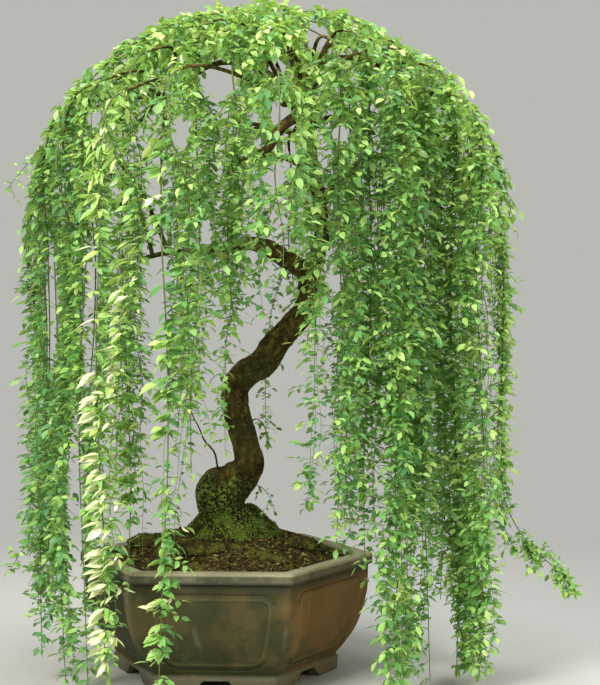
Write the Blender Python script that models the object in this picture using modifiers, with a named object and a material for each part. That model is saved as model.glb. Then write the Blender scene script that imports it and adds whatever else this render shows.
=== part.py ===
"""Weeping bonsai in a hexagonal clay pot: the tree's wood, its hanging leafy stems, moss, soil and pot.

Metres, +Z up. The pot stands on its feet at z = 0. The origin is under the middle of the whole
tree's outline, so the pot stands to the left of it, as the crown leans to the right.
"""
from math import cos, hypot, pi, radians, sin

import bmesh
import bpy
from mathutils import Vector

# ---------------------------------------------------------------- driving dimensions
GAP = 0.0003                      # clearance kept between pieces that touch
POT_PLACE = Vector((-0.0686, -0.0046, 0.0))  # the pot's axis; everything below is drawn about it
POT_TURN = radians(-2.5)          # the hexagon's right corner against +X

POT_HEIGHT = 0.118
RIM_RADIUS = 0.150                # axis to corner
RIM_WIDTH = 0.016
LIP_HEIGHT = 0.0110
EDGE_ROUND = 0.0015
WALL = 0.0085                     # measured along the corner radius
PLINTH_RADIUS = 0.1150
PLINTH_TOP = 0.0130
FOOT_HEIGHT = 0.0105
FOOT_RING_INSIDE = 0.098
PLINTH_LEAN = 0.0015              # how much less the plinth measures at its foot
FLOOR_EDGE_IN = 0.016             # the inside's lower edge against the outer wall's
INNER_RISE = 0.35                 # the inside runs this share of the wall higher than the outside
FLOOR_TOP = 0.0175
ARCH_WIDTH = 0.036                # the low arch between two feet
ARCH_ROUND = 0.005
FRAME_MARGIN = 0.012              # the plain strip round each face's raised frame
FRAME_BEAD = 0.0022
FRAME_RISE = 0.0012
PANEL_FACING = 0.7                # a face whose normal agrees this well with a side belongs to its panel
FRAME_FOOT, FRAME_TOP = 0.024, 0.094  # the stretch of wall that the frames take
DRAIN_RADIUS = 0.011
NECK_PROFILE = ((0.1456, 0.106), (0.1454, 0.0955))  # close under the lip, as (corner radius, height)
# outer wall below that, as (corner radius, height)
WALL_PROFILE = ((0.1450, 0.083), (0.1415, 0.067), (0.1378, 0.0545), (0.1311, 0.0400),
                (0.1208, 0.0257), (0.1130, 0.0165))

MESH_HOLES = 5                    # holes along each side of the drainage mesh
MESH_HOLE = 0.0044
MESH_BAR = 0.0016
MESH_THICK = 0.0012
CLIP_WIRE = 0.00075               # radius of the wire clip
CLIP_SPREAD = 0.017               # how far its ends reach out under the floor

GRIT_DEPTH = 0.012
SOIL_EDGE = 0.0048                # soil below the rim at the wall
MOUND_RADIUS = 0.112
# the mound over the flat soil, as (radius, height)
MOUND_PROFILE = ((0.0, 0.1402), (0.034, 0.1396), (0.056, 0.1366), (0.076, 0.1314),
                 (0.095, 0.1242), (MOUND_RADIUS, 0.1133))

# the root crown and the swelling above it, as (centre, radii)
ROOT_LUMPS = (((0.0065, 0.0, 0.141), (0.0365, 0.032, 0.0265)),
              ((-0.0065, -0.002, 0.1745), (0.0245, 0.0235, 0.0295)))
ROOTS = ((200, 0.062), (262, 0.056), (320, 0.060), (20, 0.058), (100, 0.052))  # bearing, reach
# how a root runs, as (share of its reach, height, radius)
ROOT_RUN = ((0.2, 0.1395, 0.0075), (0.55, 0.1320, 0.0058), (0.8, 0.1265, 0.0042), (1.0, 0.1180, 0.0024))

# centre line of the trunk, as (x, y, z, radius)
TRUNK = ((-0.0040, 0.000, 0.148, 0.0200), (-0.0060, 0.000, 0.172, 0.0220), (0.0085, -0.002, 0.188, 0.0208),
         (0.0232, -0.006, 0.206, 0.0160), (0.0195, -0.009, 0.230, 0.0136),
         (0.0115, -0.009, 0.260, 0.0138), (0.0105, -0.006, 0.284, 0.0141),
         (0.0200, -0.003, 0.2985, 0.0143), (0.0375, 0.002, 0.310, 0.0140), (0.0510, 0.005, 0.330, 0.0143),
         (0.0690, 0.007, 0.3495, 0.0130), (0.0810, 0.007, 0.368, 0.0113), (0.0855, 0.004, 0.398, 0.0106),
         (0.0920, 0.001, 0.4150, 0.0090), (0.0975, 0.000, 0.437, 0.0080), (0.0950, 0.003, 0.476, 0.0072),
         (0.0850, 0.005, 0.525, 0.0063), (0.0760, 0.003, 0.566, 0.0052), (0.0700, 0.000, 0.602, 0.0038),
         (0.0680, -0.002, 0.630, 0.0026))
# the limbs that are bent by hand
LIMBS = {
    "low_left": ((0.0850, 0.004, 0.399, 0.0098), (0.0620, 0.000, 0.4155, 0.0094),
                 (0.0400, -0.006, 0.4275, 0.0088), (0.0250, -0.010, 0.431, 0.0070),
                 (0.0060, -0.014, 0.427, 0.0050), (-0.0110, -0.018, 0.424, 0.0042),
                 (-0.0330, -0.022, 0.422, 0.0036), (-0.0560, -0.026, 0.4205, 0.0031),
                 (-0.0790, -0.030, 0.415, 0.0026)),
    "high_left": ((0.0762, 0.002, 0.565, 0.0056), (0.0530, -0.012, 0.544, 0.0056),
                  (0.0410, -0.020, 0.523, 0.0052), (0.0270, -0.026, 0.515, 0.0044),
                  (0.0130, -0.032, 0.510, 0.0037), (0.0020, -0.038, 0.492, 0.0028)),
    "inner_arc": ((0.0390, -0.019, 0.517, 0.0030), (0.0550, -0.024, 0.517, 0.0027),
                  (0.0720, -0.028, 0.509, 0.0024), (0.1010, -0.034, 0.496, 0.0019)),
    "right": ((0.0955, 0.002, 0.470, 0.0056), (0.1200, 0.006, 0.500, 0.0050),
              (0.1500, 0.010, 0.520, 0.0042), (0.1800, 0.012, 0.522, 0.0034),
              (0.2080, 0.012, 0.508, 0.0027)),
    "back": ((0.0860, 0.005, 0.520, 0.0052), (0.0800, 0.045, 0.550, 0.0046),
             (0.0740, 0.090, 0.565, 0.0038), (0.0660, 0.130, 0.560, 0.0030)),
    "front": ((0.0900, 0.004, 0.500, 0.0050), (0.0860, -0.035, 0.536, 0.0044),
              (0.0800, -0.075, 0.556, 0.0037), (0.0590, -0.114, 0.553, 0.0029)),
    "top_left": ((0.0740, 0.003, 0.575, 0.0044), (0.0400, 0.004, 0.607, 0.0038),
                 (0.0000, 0.006, 0.618, 0.0032), (-0.0420, 0.006, 0.600, 0.0026),
                 (-0.0820, 0.004, 0.570, 0.0022)),
    "top_right": ((0.0715, 0.001, 0.592, 0.0036), (0.1050, -0.002, 0.619, 0.0032),
                  (0.1450, -0.004, 0.616, 0.0027), (0.1820, -0.006, 0.594, 0.0022)),
}
TWIG_RADIUS = 0.0016
TWIG_THICKEST = 0.0026
TWIG_STEPS = 6
TWIG_CLEARANCE = 0.001
TWIG_MOST_DROP = 0.045            # a twig may leave the wood this far above the stem that it carries
TWIG_NEAR = 0.16                  # leafy stems further off than this can't be in a twig's way
TWIG_OWN = 0.024                  # the first stretch of its own stem, which it may come close to

CROWN_X, CROWN_Y = 0.045, 0.0     # the crown's axis against the pot's
CROWN_HALF_X, CROWN_HALF_Y = 0.250, 0.235
CROWN_BASE, CROWN_RISE, CROWN_POWER = 0.398, 0.276, 2.2

STEM_RADIUS = 0.0080              # leafy stem, stem and leaves together
STEM_TIP_RADIUS = 0.0045
SHOULDER_IN = 0.030               # a hanging stem starts this far inside its own drop
SHOULDER_UNDER = 0.016            # and this far under the crown's outline
# the bend over its shoulder, as (outwards, upwards) from its start
SHOULDER_BEND = ((0.0, 0.0), (0.013, -0.006), (0.023, -0.020), (0.029, -0.044))
HANG_STEPS = 5
HANG_SWAY = 0.004
# hanging leafy stems, as (x, y, height of the tip); they drop from the crown above that place
HANGING = {
    "left": ((-0.203, 0.030, 0.125), (-0.175, -0.050, 0.030), (-0.148, -0.095, 0.012),
             (-0.124, -0.128, 0.014), (-0.192, 0.100, 0.055), (-0.157, 0.125, 0.112),
             (-0.186, -0.006, 0.062), (-0.150, 0.010, 0.260)),
    "front": ((-0.102, -0.170, 0.047), (-0.084, -0.135, 0.095), (-0.044, -0.190, 0.026),
              (-0.022, -0.122, 0.210), (0.014, -0.150, 0.345), (0.083, -0.115, 0.330),
              (0.112, -0.162, 0.146), (0.138, -0.128, 0.128), (0.058, -0.212, 0.395)),
    "right": ((0.166, -0.149, 0.016), (0.194, -0.105, 0.012), (0.226, -0.066, 0.014),
              (0.247, -0.094, 0.016), (0.279, 0.004, 0.165), (0.224, 0.064, 0.056), (0.198, 0.122, 0.088),
              (0.255, 0.032, 0.046), (0.184, -0.056, 0.200)),
    "back": ((-0.118, 0.170, 0.182), (-0.064, 0.192, 0.240), (-0.002, 0.212, 0.365),
             (0.066, 0.222, 0.345), (0.120, 0.200, 0.240), (0.162, 0.172, 0.105), (0.130, 0.104, 0.160)),
}
# the stray stem low on the right that drifts outwards
STRAY = ((0.2560, -0.046, 0.480), (0.2690, -0.047, 0.466), (0.2740, -0.047, 0.430), (0.2750, -0.047, 0.330),
         (0.2740, -0.047, 0.230), (0.2790, -0.047, 0.170), (0.3030, -0.045, 0.130), (0.3270, -0.042, 0.108),
         (0.3460, -0.040, 0.086))
# leafy sprays that lie over the crown, as (bearing, where it starts, where it ends), shares of the crown
SPRAYS = ((16, 0.10, 0.55), (30, 0.40, 0.86), (44, 0.10, 0.55), (72, 0.12, 0.70), (94, 0.40, 0.86),
          (126, 0.12, 0.72), (156, 0.40, 0.86), (184, 0.10, 0.55), (202, 0.40, 0.86), (220, 0.10, 0.55),
          (272, 0.12, 0.72), (318, 0.10, 0.55), (354, 0.40, 0.86))
SPRAY_RADIUS = 0.0105
SPRAY_POINTS = 7

# moss cushions on the soil, as (x, y, half length, half width, bulge)
MOSS_PADS = {
    "moss_pad_front": (-0.020, -0.072, 0.030, 0.017, 0.0075),
    "moss_pad_left": (-0.078, -0.012, 0.022, 0.026, 0.0070),
    "moss_pad_right": (0.074, -0.030, 0.023, 0.018, 0.0070),
    "moss_pad_back": (0.020, 0.070, 0.032, 0.018, 0.0070),
}
MOSS_COLLAR = ((0.007, -0.004, 0.1395), (0.048, 0.045, 0.0165))

COLOURS = {                       # base colour, roughness, metallic
    "clay": ((0.115, 0.080, 0.045), 0.85, 0.0),
    "net": ((0.030, 0.040, 0.035), 0.55, 0.0),
    "wire": ((0.420, 0.420, 0.430), 0.40, 1.0),
    "grit": ((0.300, 0.230, 0.160), 0.95, 0.0),
    "soil": ((0.060, 0.036, 0.016), 0.95, 0.0),
    "moss": ((0.090, 0.120, 0.015), 0.95, 0.0),
    "bark": ((0.060, 0.038, 0.020), 0.90, 0.0),
    "leaf": ((0.180, 0.380, 0.060), 0.60, 0.0),
}

# ---------------------------------------------------------------- a clean start
for old in list(bpy.data.objects):
    bpy.data.objects.remove(old)
PARTS = bpy.data.collections.new("weeping_bonsai")
CUTTERS = bpy.data.collections.new("cutters")
for collection in (PARTS, CUTTERS):
    bpy.context.scene.collection.children.link(collection)


# ---------------------------------------------------------------- helpers
def material(name):
    """The Principled material of that name, made once."""
    found = bpy.data.materials.get(name)
    if found:
        return found
    colour, rough, metal = COLOURS[name]
    made = bpy.data.materials.new(name)
    made.use_nodes = True
    shader = made.node_tree.nodes["Principled BSDF"]
    shader.inputs["Base Color"].default_value = (*colour, 1.0)
    shader.inputs["Roughness"].default_value = rough
    shader.inputs["Metallic"].default_value = metal
    return made


def place(obj, collection, finish=None):
    """Links an object into a collection and stands it about the pot's axis."""
    collection.objects.link(obj)
    obj.location = POT_PLACE
    if finish:
        obj.data.materials.append(material(finish))
    if collection is CUTTERS:
        obj.hide_render = True
        obj.display_type = "WIRE"
    return obj


def evaluated(obj):
    """The object's mesh as the viewport shows it, with loose caps welded."""
    bpy.context.view_layer.update()
    seen = obj.evaluated_get(bpy.context.evaluated_depsgraph_get())
    mesh = bpy.data.meshes.new_from_object(seen)
    work = bmesh.new()
    work.from_mesh(mesh)
    bmesh.ops.remove_doubles(work, verts=work.verts, dist=1e-6)
    bmesh.ops.recalc_face_normals(work, faces=work.faces)
    if work.calc_volume(signed=True) < 0:
        bmesh.ops.reverse_faces(work, faces=work.faces)
    work.to_mesh(mesh)
    work.free()
    mesh.materials.clear()
    return mesh


def turned(name, profile, steps, turn=0.0):
    """A mesh turned about Z from (radius, height) points that run down the outer side."""
    mesh = bpy.data.meshes.new(name)
    count = len(profile)
    mesh.from_pydata([(r, 0.0, z) for r, z in profile], [(i, i + 1) for i in range(count - 1)], [])
    obj = bpy.data.objects.new(name, mesh)
    CUTTERS.objects.link(obj)
    screw = obj.modifiers.new("turn", "SCREW")
    screw.steps = steps
    screw.render_steps = steps
    screw.use_merge_vertices = True
    screw.merge_threshold = 0.00001
    screw.use_normal_calculate = True
    made = evaluated(obj)
    bpy.data.objects.remove(obj)
    for v in made.vertices:
        x, y = v.co.x, v.co.y
        v.co.x = x * cos(turn) - y * sin(turn)
        v.co.y = x * sin(turn) + y * cos(turn)
    return made


def tube(name, points, sides=2, grow=0.0):
    """A mesh tube along (x, y, z, radius) points, with filled caps."""
    curve = bpy.data.curves.new(name, "CURVE")
    curve.dimensions = "3D"
    curve.bevel_depth = 1.0
    curve.bevel_resolution = sides
    curve.use_fill_caps = True
    spline = curve.splines.new("POLY")
    spline.points.add(len(points) - 1)
    for target, (x, y, z, radius) in zip(spline.points, points):
        target.co = (x, y, z, 1.0)
        target.radius = radius + grow
    obj = bpy.data.objects.new(name, curve)
    CUTTERS.objects.link(obj)
    made = evaluated(obj)
    bpy.data.objects.remove(obj)
    return made


def lump(name, centre, radii, rings=9, grow=0.0):
    """An ellipsoid."""
    mesh = bpy.data.meshes.new(name)
    work = bmesh.new()
    bmesh.ops.create_uvsphere(work, u_segments=rings * 2, v_segments=rings, radius=1.0)
    for v in work.verts:
        v.co = Vector(centre) + Vector([c * (r + grow) for c, r in zip(v.co, radii)])
    work.to_mesh(mesh)
    work.free()
    return mesh


def block(name, low, high):
    """A box between two corners."""
    mesh = bpy.data.meshes.new(name)
    work = bmesh.new()
    bmesh.ops.create_cube(work, size=1.0)
    middle = (Vector(low) + Vector(high)) / 2
    size = Vector(high) - Vector(low)
    for v in work.verts:
        v.co = middle + Vector([c * s for c, s in zip(v.co, size)])
    work.to_mesh(mesh)
    work.free()
    return mesh


def bar(name, outline, length, bearing):
    """A mesh bar of an (across, height) outline, lying level through the axis along a bearing."""
    curve = bpy.data.curves.new(name, "CURVE")
    curve.dimensions = "2D"
    curve.fill_mode = "BOTH"
    curve.extrude = length / 2
    spline = curve.splines.new("POLY")
    spline.points.add(len(outline) - 1)
    for target, (across, height) in zip(spline.points, outline):
        target.co = (across, height, 0.0, 1.0)
    spline.use_cyclic_u = True
    obj = bpy.data.objects.new(name, curve)
    CUTTERS.objects.link(obj)
    made = evaluated(obj)
    bpy.data.objects.remove(obj)
    for v in made.vertices:
        across, height, along = v.co
        x = along * cos(bearing) - across * sin(bearing)
        y = along * sin(bearing) + across * cos(bearing)
        v.co = (x, y, height)
    work = bmesh.new()
    work.from_mesh(made)
    bmesh.ops.recalc_face_normals(work, faces=work.faces)
    work.to_mesh(made)
    work.free()
    return made


def combine(name, mesh, others, how):
    """The mesh after one Boolean with each of the others in turn."""
    obj = bpy.data.objects.new(name, mesh)
    CUTTERS.objects.link(obj)
    helpers = []
    for other in others:
        helper = bpy.data.objects.new("helper", other)
        CUTTERS.objects.link(helper)
        cut = obj.modifiers.new("cut", "BOOLEAN")
        cut.operation = how
        cut.solver = "EXACT"
        cut.object = helper
        helpers.append(helper)
    made = evaluated(obj)
    for helper in helpers + [obj]:
        bpy.data.objects.remove(helper)
    return made


def part(name, mesh, finish, smooth=True):
    """The finished piece, as a named object in the parts' collection."""
    mesh.name = name
    if smooth:
        mesh.shade_smooth()
        mesh.set_sharp_from_angle(angle=radians(40))
    return place(bpy.data.objects.new(name, mesh), PARTS, finish)


# ---------------------------------------------------------------- the pot
def inner_wall(clear=0.0):
    """The pot's inside as (corner radius, height) points from the rim down to the floor's edge."""
    top = (RIM_RADIUS - RIM_WIDTH - clear, POT_HEIGHT - EDGE_ROUND)
    side = [(r - WALL - clear, z + WALL * INNER_RISE) for r, z in WALL_PROFILE[:-1]]
    return [top] + side + [(WALL_PROFILE[-1][0] - FLOOR_EDGE_IN - clear, FLOOR_TOP)]


def framed(mesh):
    """Raises a thin frame on each of the six outer faces, by insetting the wall below the lip."""
    work = bmesh.new()
    work.from_mesh(mesh)
    faces = []
    for k in range(6):
        bearing = radians(60 * k + 30) + POT_TURN
        facing = Vector((cos(bearing), sin(bearing), 0.0))
        faces.append([f for f in work.faces if f.normal.dot(facing) > PANEL_FACING
                      and FRAME_FOOT < f.calc_center_median().z < FRAME_TOP
                      and f.calc_center_median().dot(facing) > 0.8 * PLINTH_RADIUS])
    for panel in faces:
        for thickness, depth in ((FRAME_MARGIN, 0.0), (FRAME_BEAD, FRAME_RISE), (FRAME_BEAD, -FRAME_RISE)):
            bmesh.ops.inset_region(work, faces=panel, thickness=thickness, depth=depth,
                                   use_even_offset=True, use_boundary=True)
    work.to_mesh(mesh)
    work.free()
    return mesh


def arch_outline():
    """The opening between two feet, with round upper corners."""
    half, radius = ARCH_WIDTH / 2, ARCH_ROUND
    points = [(-half, -0.01)]
    for k in range(4):
        turn = pi - k * pi / 6
        points.append((-half + radius + radius * cos(turn), FOOT_HEIGHT - radius + radius * sin(turn)))
    points += [(-x, z) for x, z in reversed(points)]
    return points


def pot():
    """The pot: lip, bellied wall with framed faces, plinth, six corner feet and a drain hole."""
    rim, edge = RIM_RADIUS, EDGE_ROUND
    lip_foot = POT_HEIGHT - LIP_HEIGHT
    outside = [(rim - edge, POT_HEIGHT), (rim, POT_HEIGHT - edge), (rim, lip_foot + edge),
               (rim - edge, lip_foot), *NECK_PROFILE]
    outside += list(WALL_PROFILE)
    outside += [(PLINTH_RADIUS - edge, PLINTH_TOP + 0.0008), (PLINTH_RADIUS, PLINTH_TOP - edge * 0.6),
                (PLINTH_RADIUS - PLINTH_LEAN, 0.0), (FOOT_RING_INSIDE, 0.0),
                (FOOT_RING_INSIDE, FOOT_HEIGHT), (0.0, FOOT_HEIGHT)]
    inside = [(0.0, FLOOR_TOP)] + list(reversed(inner_wall()))
    inside += [(rim - RIM_WIDTH + edge, POT_HEIGHT)]
    mesh = turned("pot", inside + outside, 6, POT_TURN)
    mesh = framed(mesh)
    arches = [bar("arch", arch_outline(), 0.30, radians(60 * k + 30) + POT_TURN) for k in range(3)]
    drain = turned("drain", [(0.0, 0.05), (DRAIN_RADIUS, 0.05), (DRAIN_RADIUS, -0.01), (0.0, -0.01)], 24)
    part("pot", combine("pot", mesh, arches + [drain], "DIFFERENCE"), "clay")


# ---------------------------------------------------------------- what is in the pot
def drain_mesh():
    """The plastic net that keeps the soil out of the drain hole."""
    lines = [0.0]
    for k in range(MESH_HOLES):
        lines += [lines[-1] + MESH_BAR, lines[-1] + MESH_BAR + MESH_HOLE]
    lines.append(lines[-1] + MESH_BAR)
    half = lines[-1] / 2
    count = len(lines)
    flat = bpy.data.meshes.new("net")
    verts = [(x - half, y - half, FLOOR_TOP + GAP) for y in lines for x in lines]
    faces = []
    for j in range(count - 1):
        for i in range(count - 1):
            if i % 2 == 0 or j % 2 == 0:
                first = j * count + i
                faces.append((first, first + 1, first + count + 1, first + count))
    flat.from_pydata(verts, [], faces)
    obj = bpy.data.objects.new("net", flat)
    CUTTERS.objects.link(obj)
    thick = obj.modifiers.new("thick", "SOLIDIFY")
    thick.thickness = MESH_THICK
    thick.offset = 1.0
    made = evaluated(obj)
    bpy.data.objects.remove(obj)
    part("drain_mesh", made, "net", smooth=False)
    return half


def mesh_clip():
    """The wire staple over the net, its legs down the drain hole and bent out under the floor."""
    leg = MESH_BAR + MESH_HOLE
    high = FLOOR_TOP + GAP + MESH_THICK + GAP + CLIP_WIRE
    low = FOOT_HEIGHT - GAP - CLIP_WIRE
    bend = CLIP_WIRE * 1.6
    half = [(0.0, high), (leg - bend, high), (leg, high - bend), (leg, low + bend), (leg + bend, low),
            (CLIP_SPREAD, low)]
    points = [(-x, 0.0, z, CLIP_WIRE) for x, z in reversed(half[1:])]
    points += [(x, 0.0, z, CLIP_WIRE) for x, z in half]
    part("mesh_clip", tube("mesh_clip", points, 2), "wire")


def drainage_grit(net_half):
    """The coarse grit over the pot's floor, hollowed where the net and its clip lie."""
    clear = 0.0007
    low, high = FLOOR_TOP + GAP, FLOOR_TOP + GRIT_DEPTH
    corner = [p for p in inner_wall(clear) if p[1] < high]
    above = [p for p in inner_wall(clear) if p[1] >= high][-1]
    share = (high - corner[0][1]) / (above[1] - corner[0][1])
    top = (corner[0][0] + share * (above[0] - corner[0][0]), high)
    profile = [(0.0, high), top] + corner[:-1] + [(corner[-1][0] + 0.0002, low), (0.0, low)]
    mesh = turned("grit", profile, 6, POT_TURN)
    room = net_half + 0.0006
    roof = FLOOR_TOP + GAP + MESH_THICK + GAP + 2 * CLIP_WIRE + GAP
    hollow = block("hollow", (-room, -room, 0.0), (room, room, roof))
    part("drainage_grit", combine("grit", mesh, [hollow], "DIFFERENCE"), "grit")


def root_bodies(grow=0.0):
    """The root crown, its swelling and the roots that run into the soil."""
    bodies = [lump("root", centre, radii, 8, grow) for centre, radii in ROOT_LUMPS]
    for bearing, reach in ROOTS:
        way = Vector((cos(radians(bearing)), sin(radians(bearing)), 0.0))
        points = []
        for share, height, radius in ROOT_RUN:
            spot = way * reach * share
            points.append((spot.x, spot.y, height, radius))
        bodies.append(tube("root", points, 2, grow))
    return bodies


def soil_mesh(lift=0.0):
    """The soil: level at the wall, mounded to the tree. lift raises its top and widens it, for a cutter."""
    clear = 0.0007
    low = FLOOR_TOP + GRIT_DEPTH + GAP
    edge = POT_HEIGHT - SOIL_EDGE + lift
    inner = inner_wall(clear)
    side = [p for p in inner if low < p[1] < edge]
    outer_top = inner[0]
    foot = [p for p in inner if p[1] <= low][0]
    share = (low - foot[1]) / (side[-1][1] - foot[1])
    base = (foot[0] + share * (side[-1][0] - foot[0]), low)
    share = (edge - side[0][1]) / (outer_top[1] - side[0][1])
    top = (side[0][0] + share * (outer_top[0] - side[0][0]), edge)
    body = turned("soil", [(0.0, edge), top] + side + [base, (0.0, low)], 6, POT_TURN)
    heap = [(r, z + lift) for r, z in MOUND_PROFILE] + [(MOUND_RADIUS, 0.10), (0.0, 0.10)]
    return combine("soil", body, [turned("heap", heap, 24)], "UNION")


def soil():
    part("soil", combine("soil", soil_mesh(), root_bodies(GAP), "DIFFERENCE"), "soil")


def mound_height(radius):
    """The mound's height at a distance from its middle."""
    for (r0, z0), (r1, z1) in zip(MOUND_PROFILE, MOUND_PROFILE[1:]):
        if radius <= r1:
            return z0 + (z1 - z0) * (radius - r0) / (r1 - r0)
    return MOUND_PROFILE[-1][1]


def moss():
    """The moss collar round the root crown and the cushions on the mound."""
    wood = root_bodies(GAP) + [tube("trunk", TRUNK[:4], 4, GAP)]
    collar = lump("moss", *MOSS_COLLAR, 10)
    collar = combine("moss", collar, [soil_mesh(GAP)] + wood, "DIFFERENCE")
    part("moss_collar", largest_body(collar), "moss")
    for name, (x, y, long, wide, bulge) in MOSS_PADS.items():
        seat = mound_height(hypot(x, y))
        pad = lump(name, (x, y, seat - bulge * 0.25), (long, wide, bulge * 1.25), 7)
        part(name, largest_body(combine(name, pad, [soil_mesh(GAP)], "DIFFERENCE")), "moss")


def largest_body(mesh):
    """The mesh without the crumbs that a cut may leave beside its largest body."""
    work = bmesh.new()
    work.from_mesh(mesh)
    left, groups = set(work.verts), []
    while left:
        todo, group = [left.pop()], []
        while todo:
            v = todo.pop()
            group.append(v)
            for e in v.link_edges:
                other = e.other_vert(v)
                if other in left:
                    left.remove(other)
                    todo.append(other)
        groups.append(group)
    groups.sort(key=len)
    for group in groups[:-1]:
        bmesh.ops.delete(work, geom=group, context="VERTS")
    work.to_mesh(mesh)
    work.free()
    return mesh


# ---------------------------------------------------------------- the leafy stems
def crown_height(x, y):
    """The crown's outline over a place."""
    share = hypot((x - CROWN_X) / CROWN_HALF_X, (y - CROWN_Y) / CROWN_HALF_Y)
    inside = max(0.0, 1.0 - min(share, 1.0) ** CROWN_POWER)
    return CROWN_BASE + CROWN_RISE * inside ** (1 / CROWN_POWER)


def hanging_path(x, y, tip):
    """A stem that leaves the crown outwards, turns over its shoulder and hangs to its tip."""
    out = Vector((x - CROWN_X, y - CROWN_Y)).normalized()
    inner_x = x - out.x * SHOULDER_IN
    inner_y = y - out.y * SHOULDER_IN
    start = Vector((inner_x, inner_y, crown_height(inner_x, inner_y) - SHOULDER_UNDER))
    path = [start + Vector((out.x * away, out.y * away, up)) for away, up in SHOULDER_BEND]
    top = path[-1]
    for k in range(1, HANG_STEPS + 1):
        share = k / HANG_STEPS
        bow = HANG_SWAY * sin(share * 2 * pi + x * 40)
        path.append(Vector((top.x + (x - top.x) * share + bow, top.y + (y - top.y) * share + bow * 0.5,
                            top.z + (tip - top.z) * share)))
    return path


def spray_path(bearing, first, last):
    """A stem that lies along the crown from one share of its half width to another."""
    path = []
    for k in range(SPRAY_POINTS):
        share = first + (last - first) * k / (SPRAY_POINTS - 1)
        x = CROWN_X + CROWN_HALF_X * share * cos(radians(bearing))
        y = CROWN_Y + CROWN_HALF_Y * share * sin(radians(bearing))
        path.append(Vector((x, y, crown_height(x, y) - SPRAY_RADIUS)))
    return path


def leafy_stems():
    """Every leafy stem by name: its centre line and its widest radius."""
    stems = {}
    for side, places in HANGING.items():
        for k, (x, y, tip) in enumerate(places, 1):
            stems[f"hanging_stem_{side}_{k}"] = (hanging_path(x, y, tip), STEM_RADIUS)
    stems["hanging_stem_right_stray"] = ([Vector(p) for p in STRAY], STEM_RADIUS)
    for k, (bearing, first, last) in enumerate(SPRAYS, 1):
        stems[f"crown_spray_{k}"] = (spray_path(bearing, first, last), SPRAY_RADIUS)
    return stems


def stem_tube(name, path, widest):
    """The closed solid of one leafy stem, slim at both ends."""
    points = []
    count = len(path) - 1
    for k, spot in enumerate(path):
        share = k / count
        radius = widest * min(1.0, 0.45 + 1.6 * share)
        radius = max(STEM_TIP_RADIUS, radius * min(1.0, 0.55 + 2.2 * (1 - share)))
        points.append((*spot, radius))
    part(name, tube(name, points, 1), "leaf")


# ---------------------------------------------------------------- the wood
def wood_points():
    """Points along the trunk and limbs from which twigs may leave, as (place, radius)."""
    found = []
    for line in [TRUNK[14:]] + list(LIMBS.values()):
        for (x0, y0, z0, r0), (x1, y1, z1, r1) in zip(line, line[1:]):
            for k in range(3):
                share = k / 3
                spot = Vector((x0, y0, z0)).lerp(Vector((x1, y1, z1)), share)
                found.append((spot, r0 + (r1 - r0) * share))
    return found


def twig_line(start, thick, path):
    """A twig's (x, y, z, radius) points, from the wood to just short of a leafy stem."""
    way = (path[1] - path[0]).normalized()
    end = path[0] - way * GAP * 1.6
    reach = (end - start).length
    lead = end - way * reach * 0.35
    knee = start.lerp(lead, 0.45) + Vector((0.0, 0.0, reach * 0.08))
    points = []
    for k in range(TWIG_STEPS + 1):
        t = k / TWIG_STEPS
        u = 1 - t
        spot = start * u ** 3 + knee * 3 * t * u * u + lead * 3 * t * t * u + end * t ** 3
        points.append((*spot, thick + (TWIG_RADIUS - thick) * t))
    return points


def spaced(line, step=0.004):
    """(place, radius) along a line of (place, radius) points, a step apart."""
    found = []
    for (a, ra), (b, rb) in zip(line, line[1:]):
        count = max(2, int((b - a).length / step))
        found += [(a.lerp(b, k / count), ra + (rb - ra) * k / count) for k in range(count)]
    return found + [line[-1]]


def clears(points, crowd):
    """True if a twig keeps off every leafy stem, but for the end that meets its own."""
    line = spaced([(Vector(p[:3]), p[3]) for p in points])[:-3]
    return all((spot - other).length > radius + wide + TWIG_CLEARANCE
               for spot, radius in line for other, wide in crowd)


def trunk(stems):
    """Root crown, trunk, limbs and twigs: one piece of wood."""
    bodies = root_bodies()
    bodies += [tube("limb", line, 2) for line in LIMBS.values()]
    places = wood_points()
    crowds = {name: spaced([(spot, widest) for spot in path]) for name, (path, widest) in stems.items()}
    for name, (path, _) in stems.items():
        start = path[0]
        near = [p for other, crowd in crowds.items() for p in crowd
                if (TWIG_OWN if other == name else 0.0) < (p[0] - start).length < TWIG_NEAR]
        below = [(spot, radius) for spot, radius in places if spot.z < start.z + TWIG_MOST_DROP]
        below.sort(key=lambda p: (p[0] - start).length)
        lines = [twig_line(spot, min(radius * 0.8, TWIG_THICKEST), path) for spot, radius in below]
        clear = next((line for line in lines if clears(line, near)), lines[0])
        bodies.append(tube("twig", clear, 1))
    wood = combine("trunk", tube("trunk", TRUNK, 4), bodies, "UNION")
    part("trunk", largest_body(wood), "bark")


stems = leafy_stems()
pot()
net_half = drain_mesh()
mesh_clip()
drainage_grit(net_half)
soil()
moss()
trunk(stems)
for stem_name, (stem_path, widest) in stems.items():
    stem_tube(stem_name, stem_path, widest)
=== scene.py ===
"""Looks of the weeping bonsai: a curved old trunk, long hanging leafy stems, moss and soil in a clay pot.

Metres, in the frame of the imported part. Shapes are made about the pot's axis, and piece() puts them in place.
"""
import math
import random

import bpy
import numpy as np
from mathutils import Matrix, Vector, kdtree, noise


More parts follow.
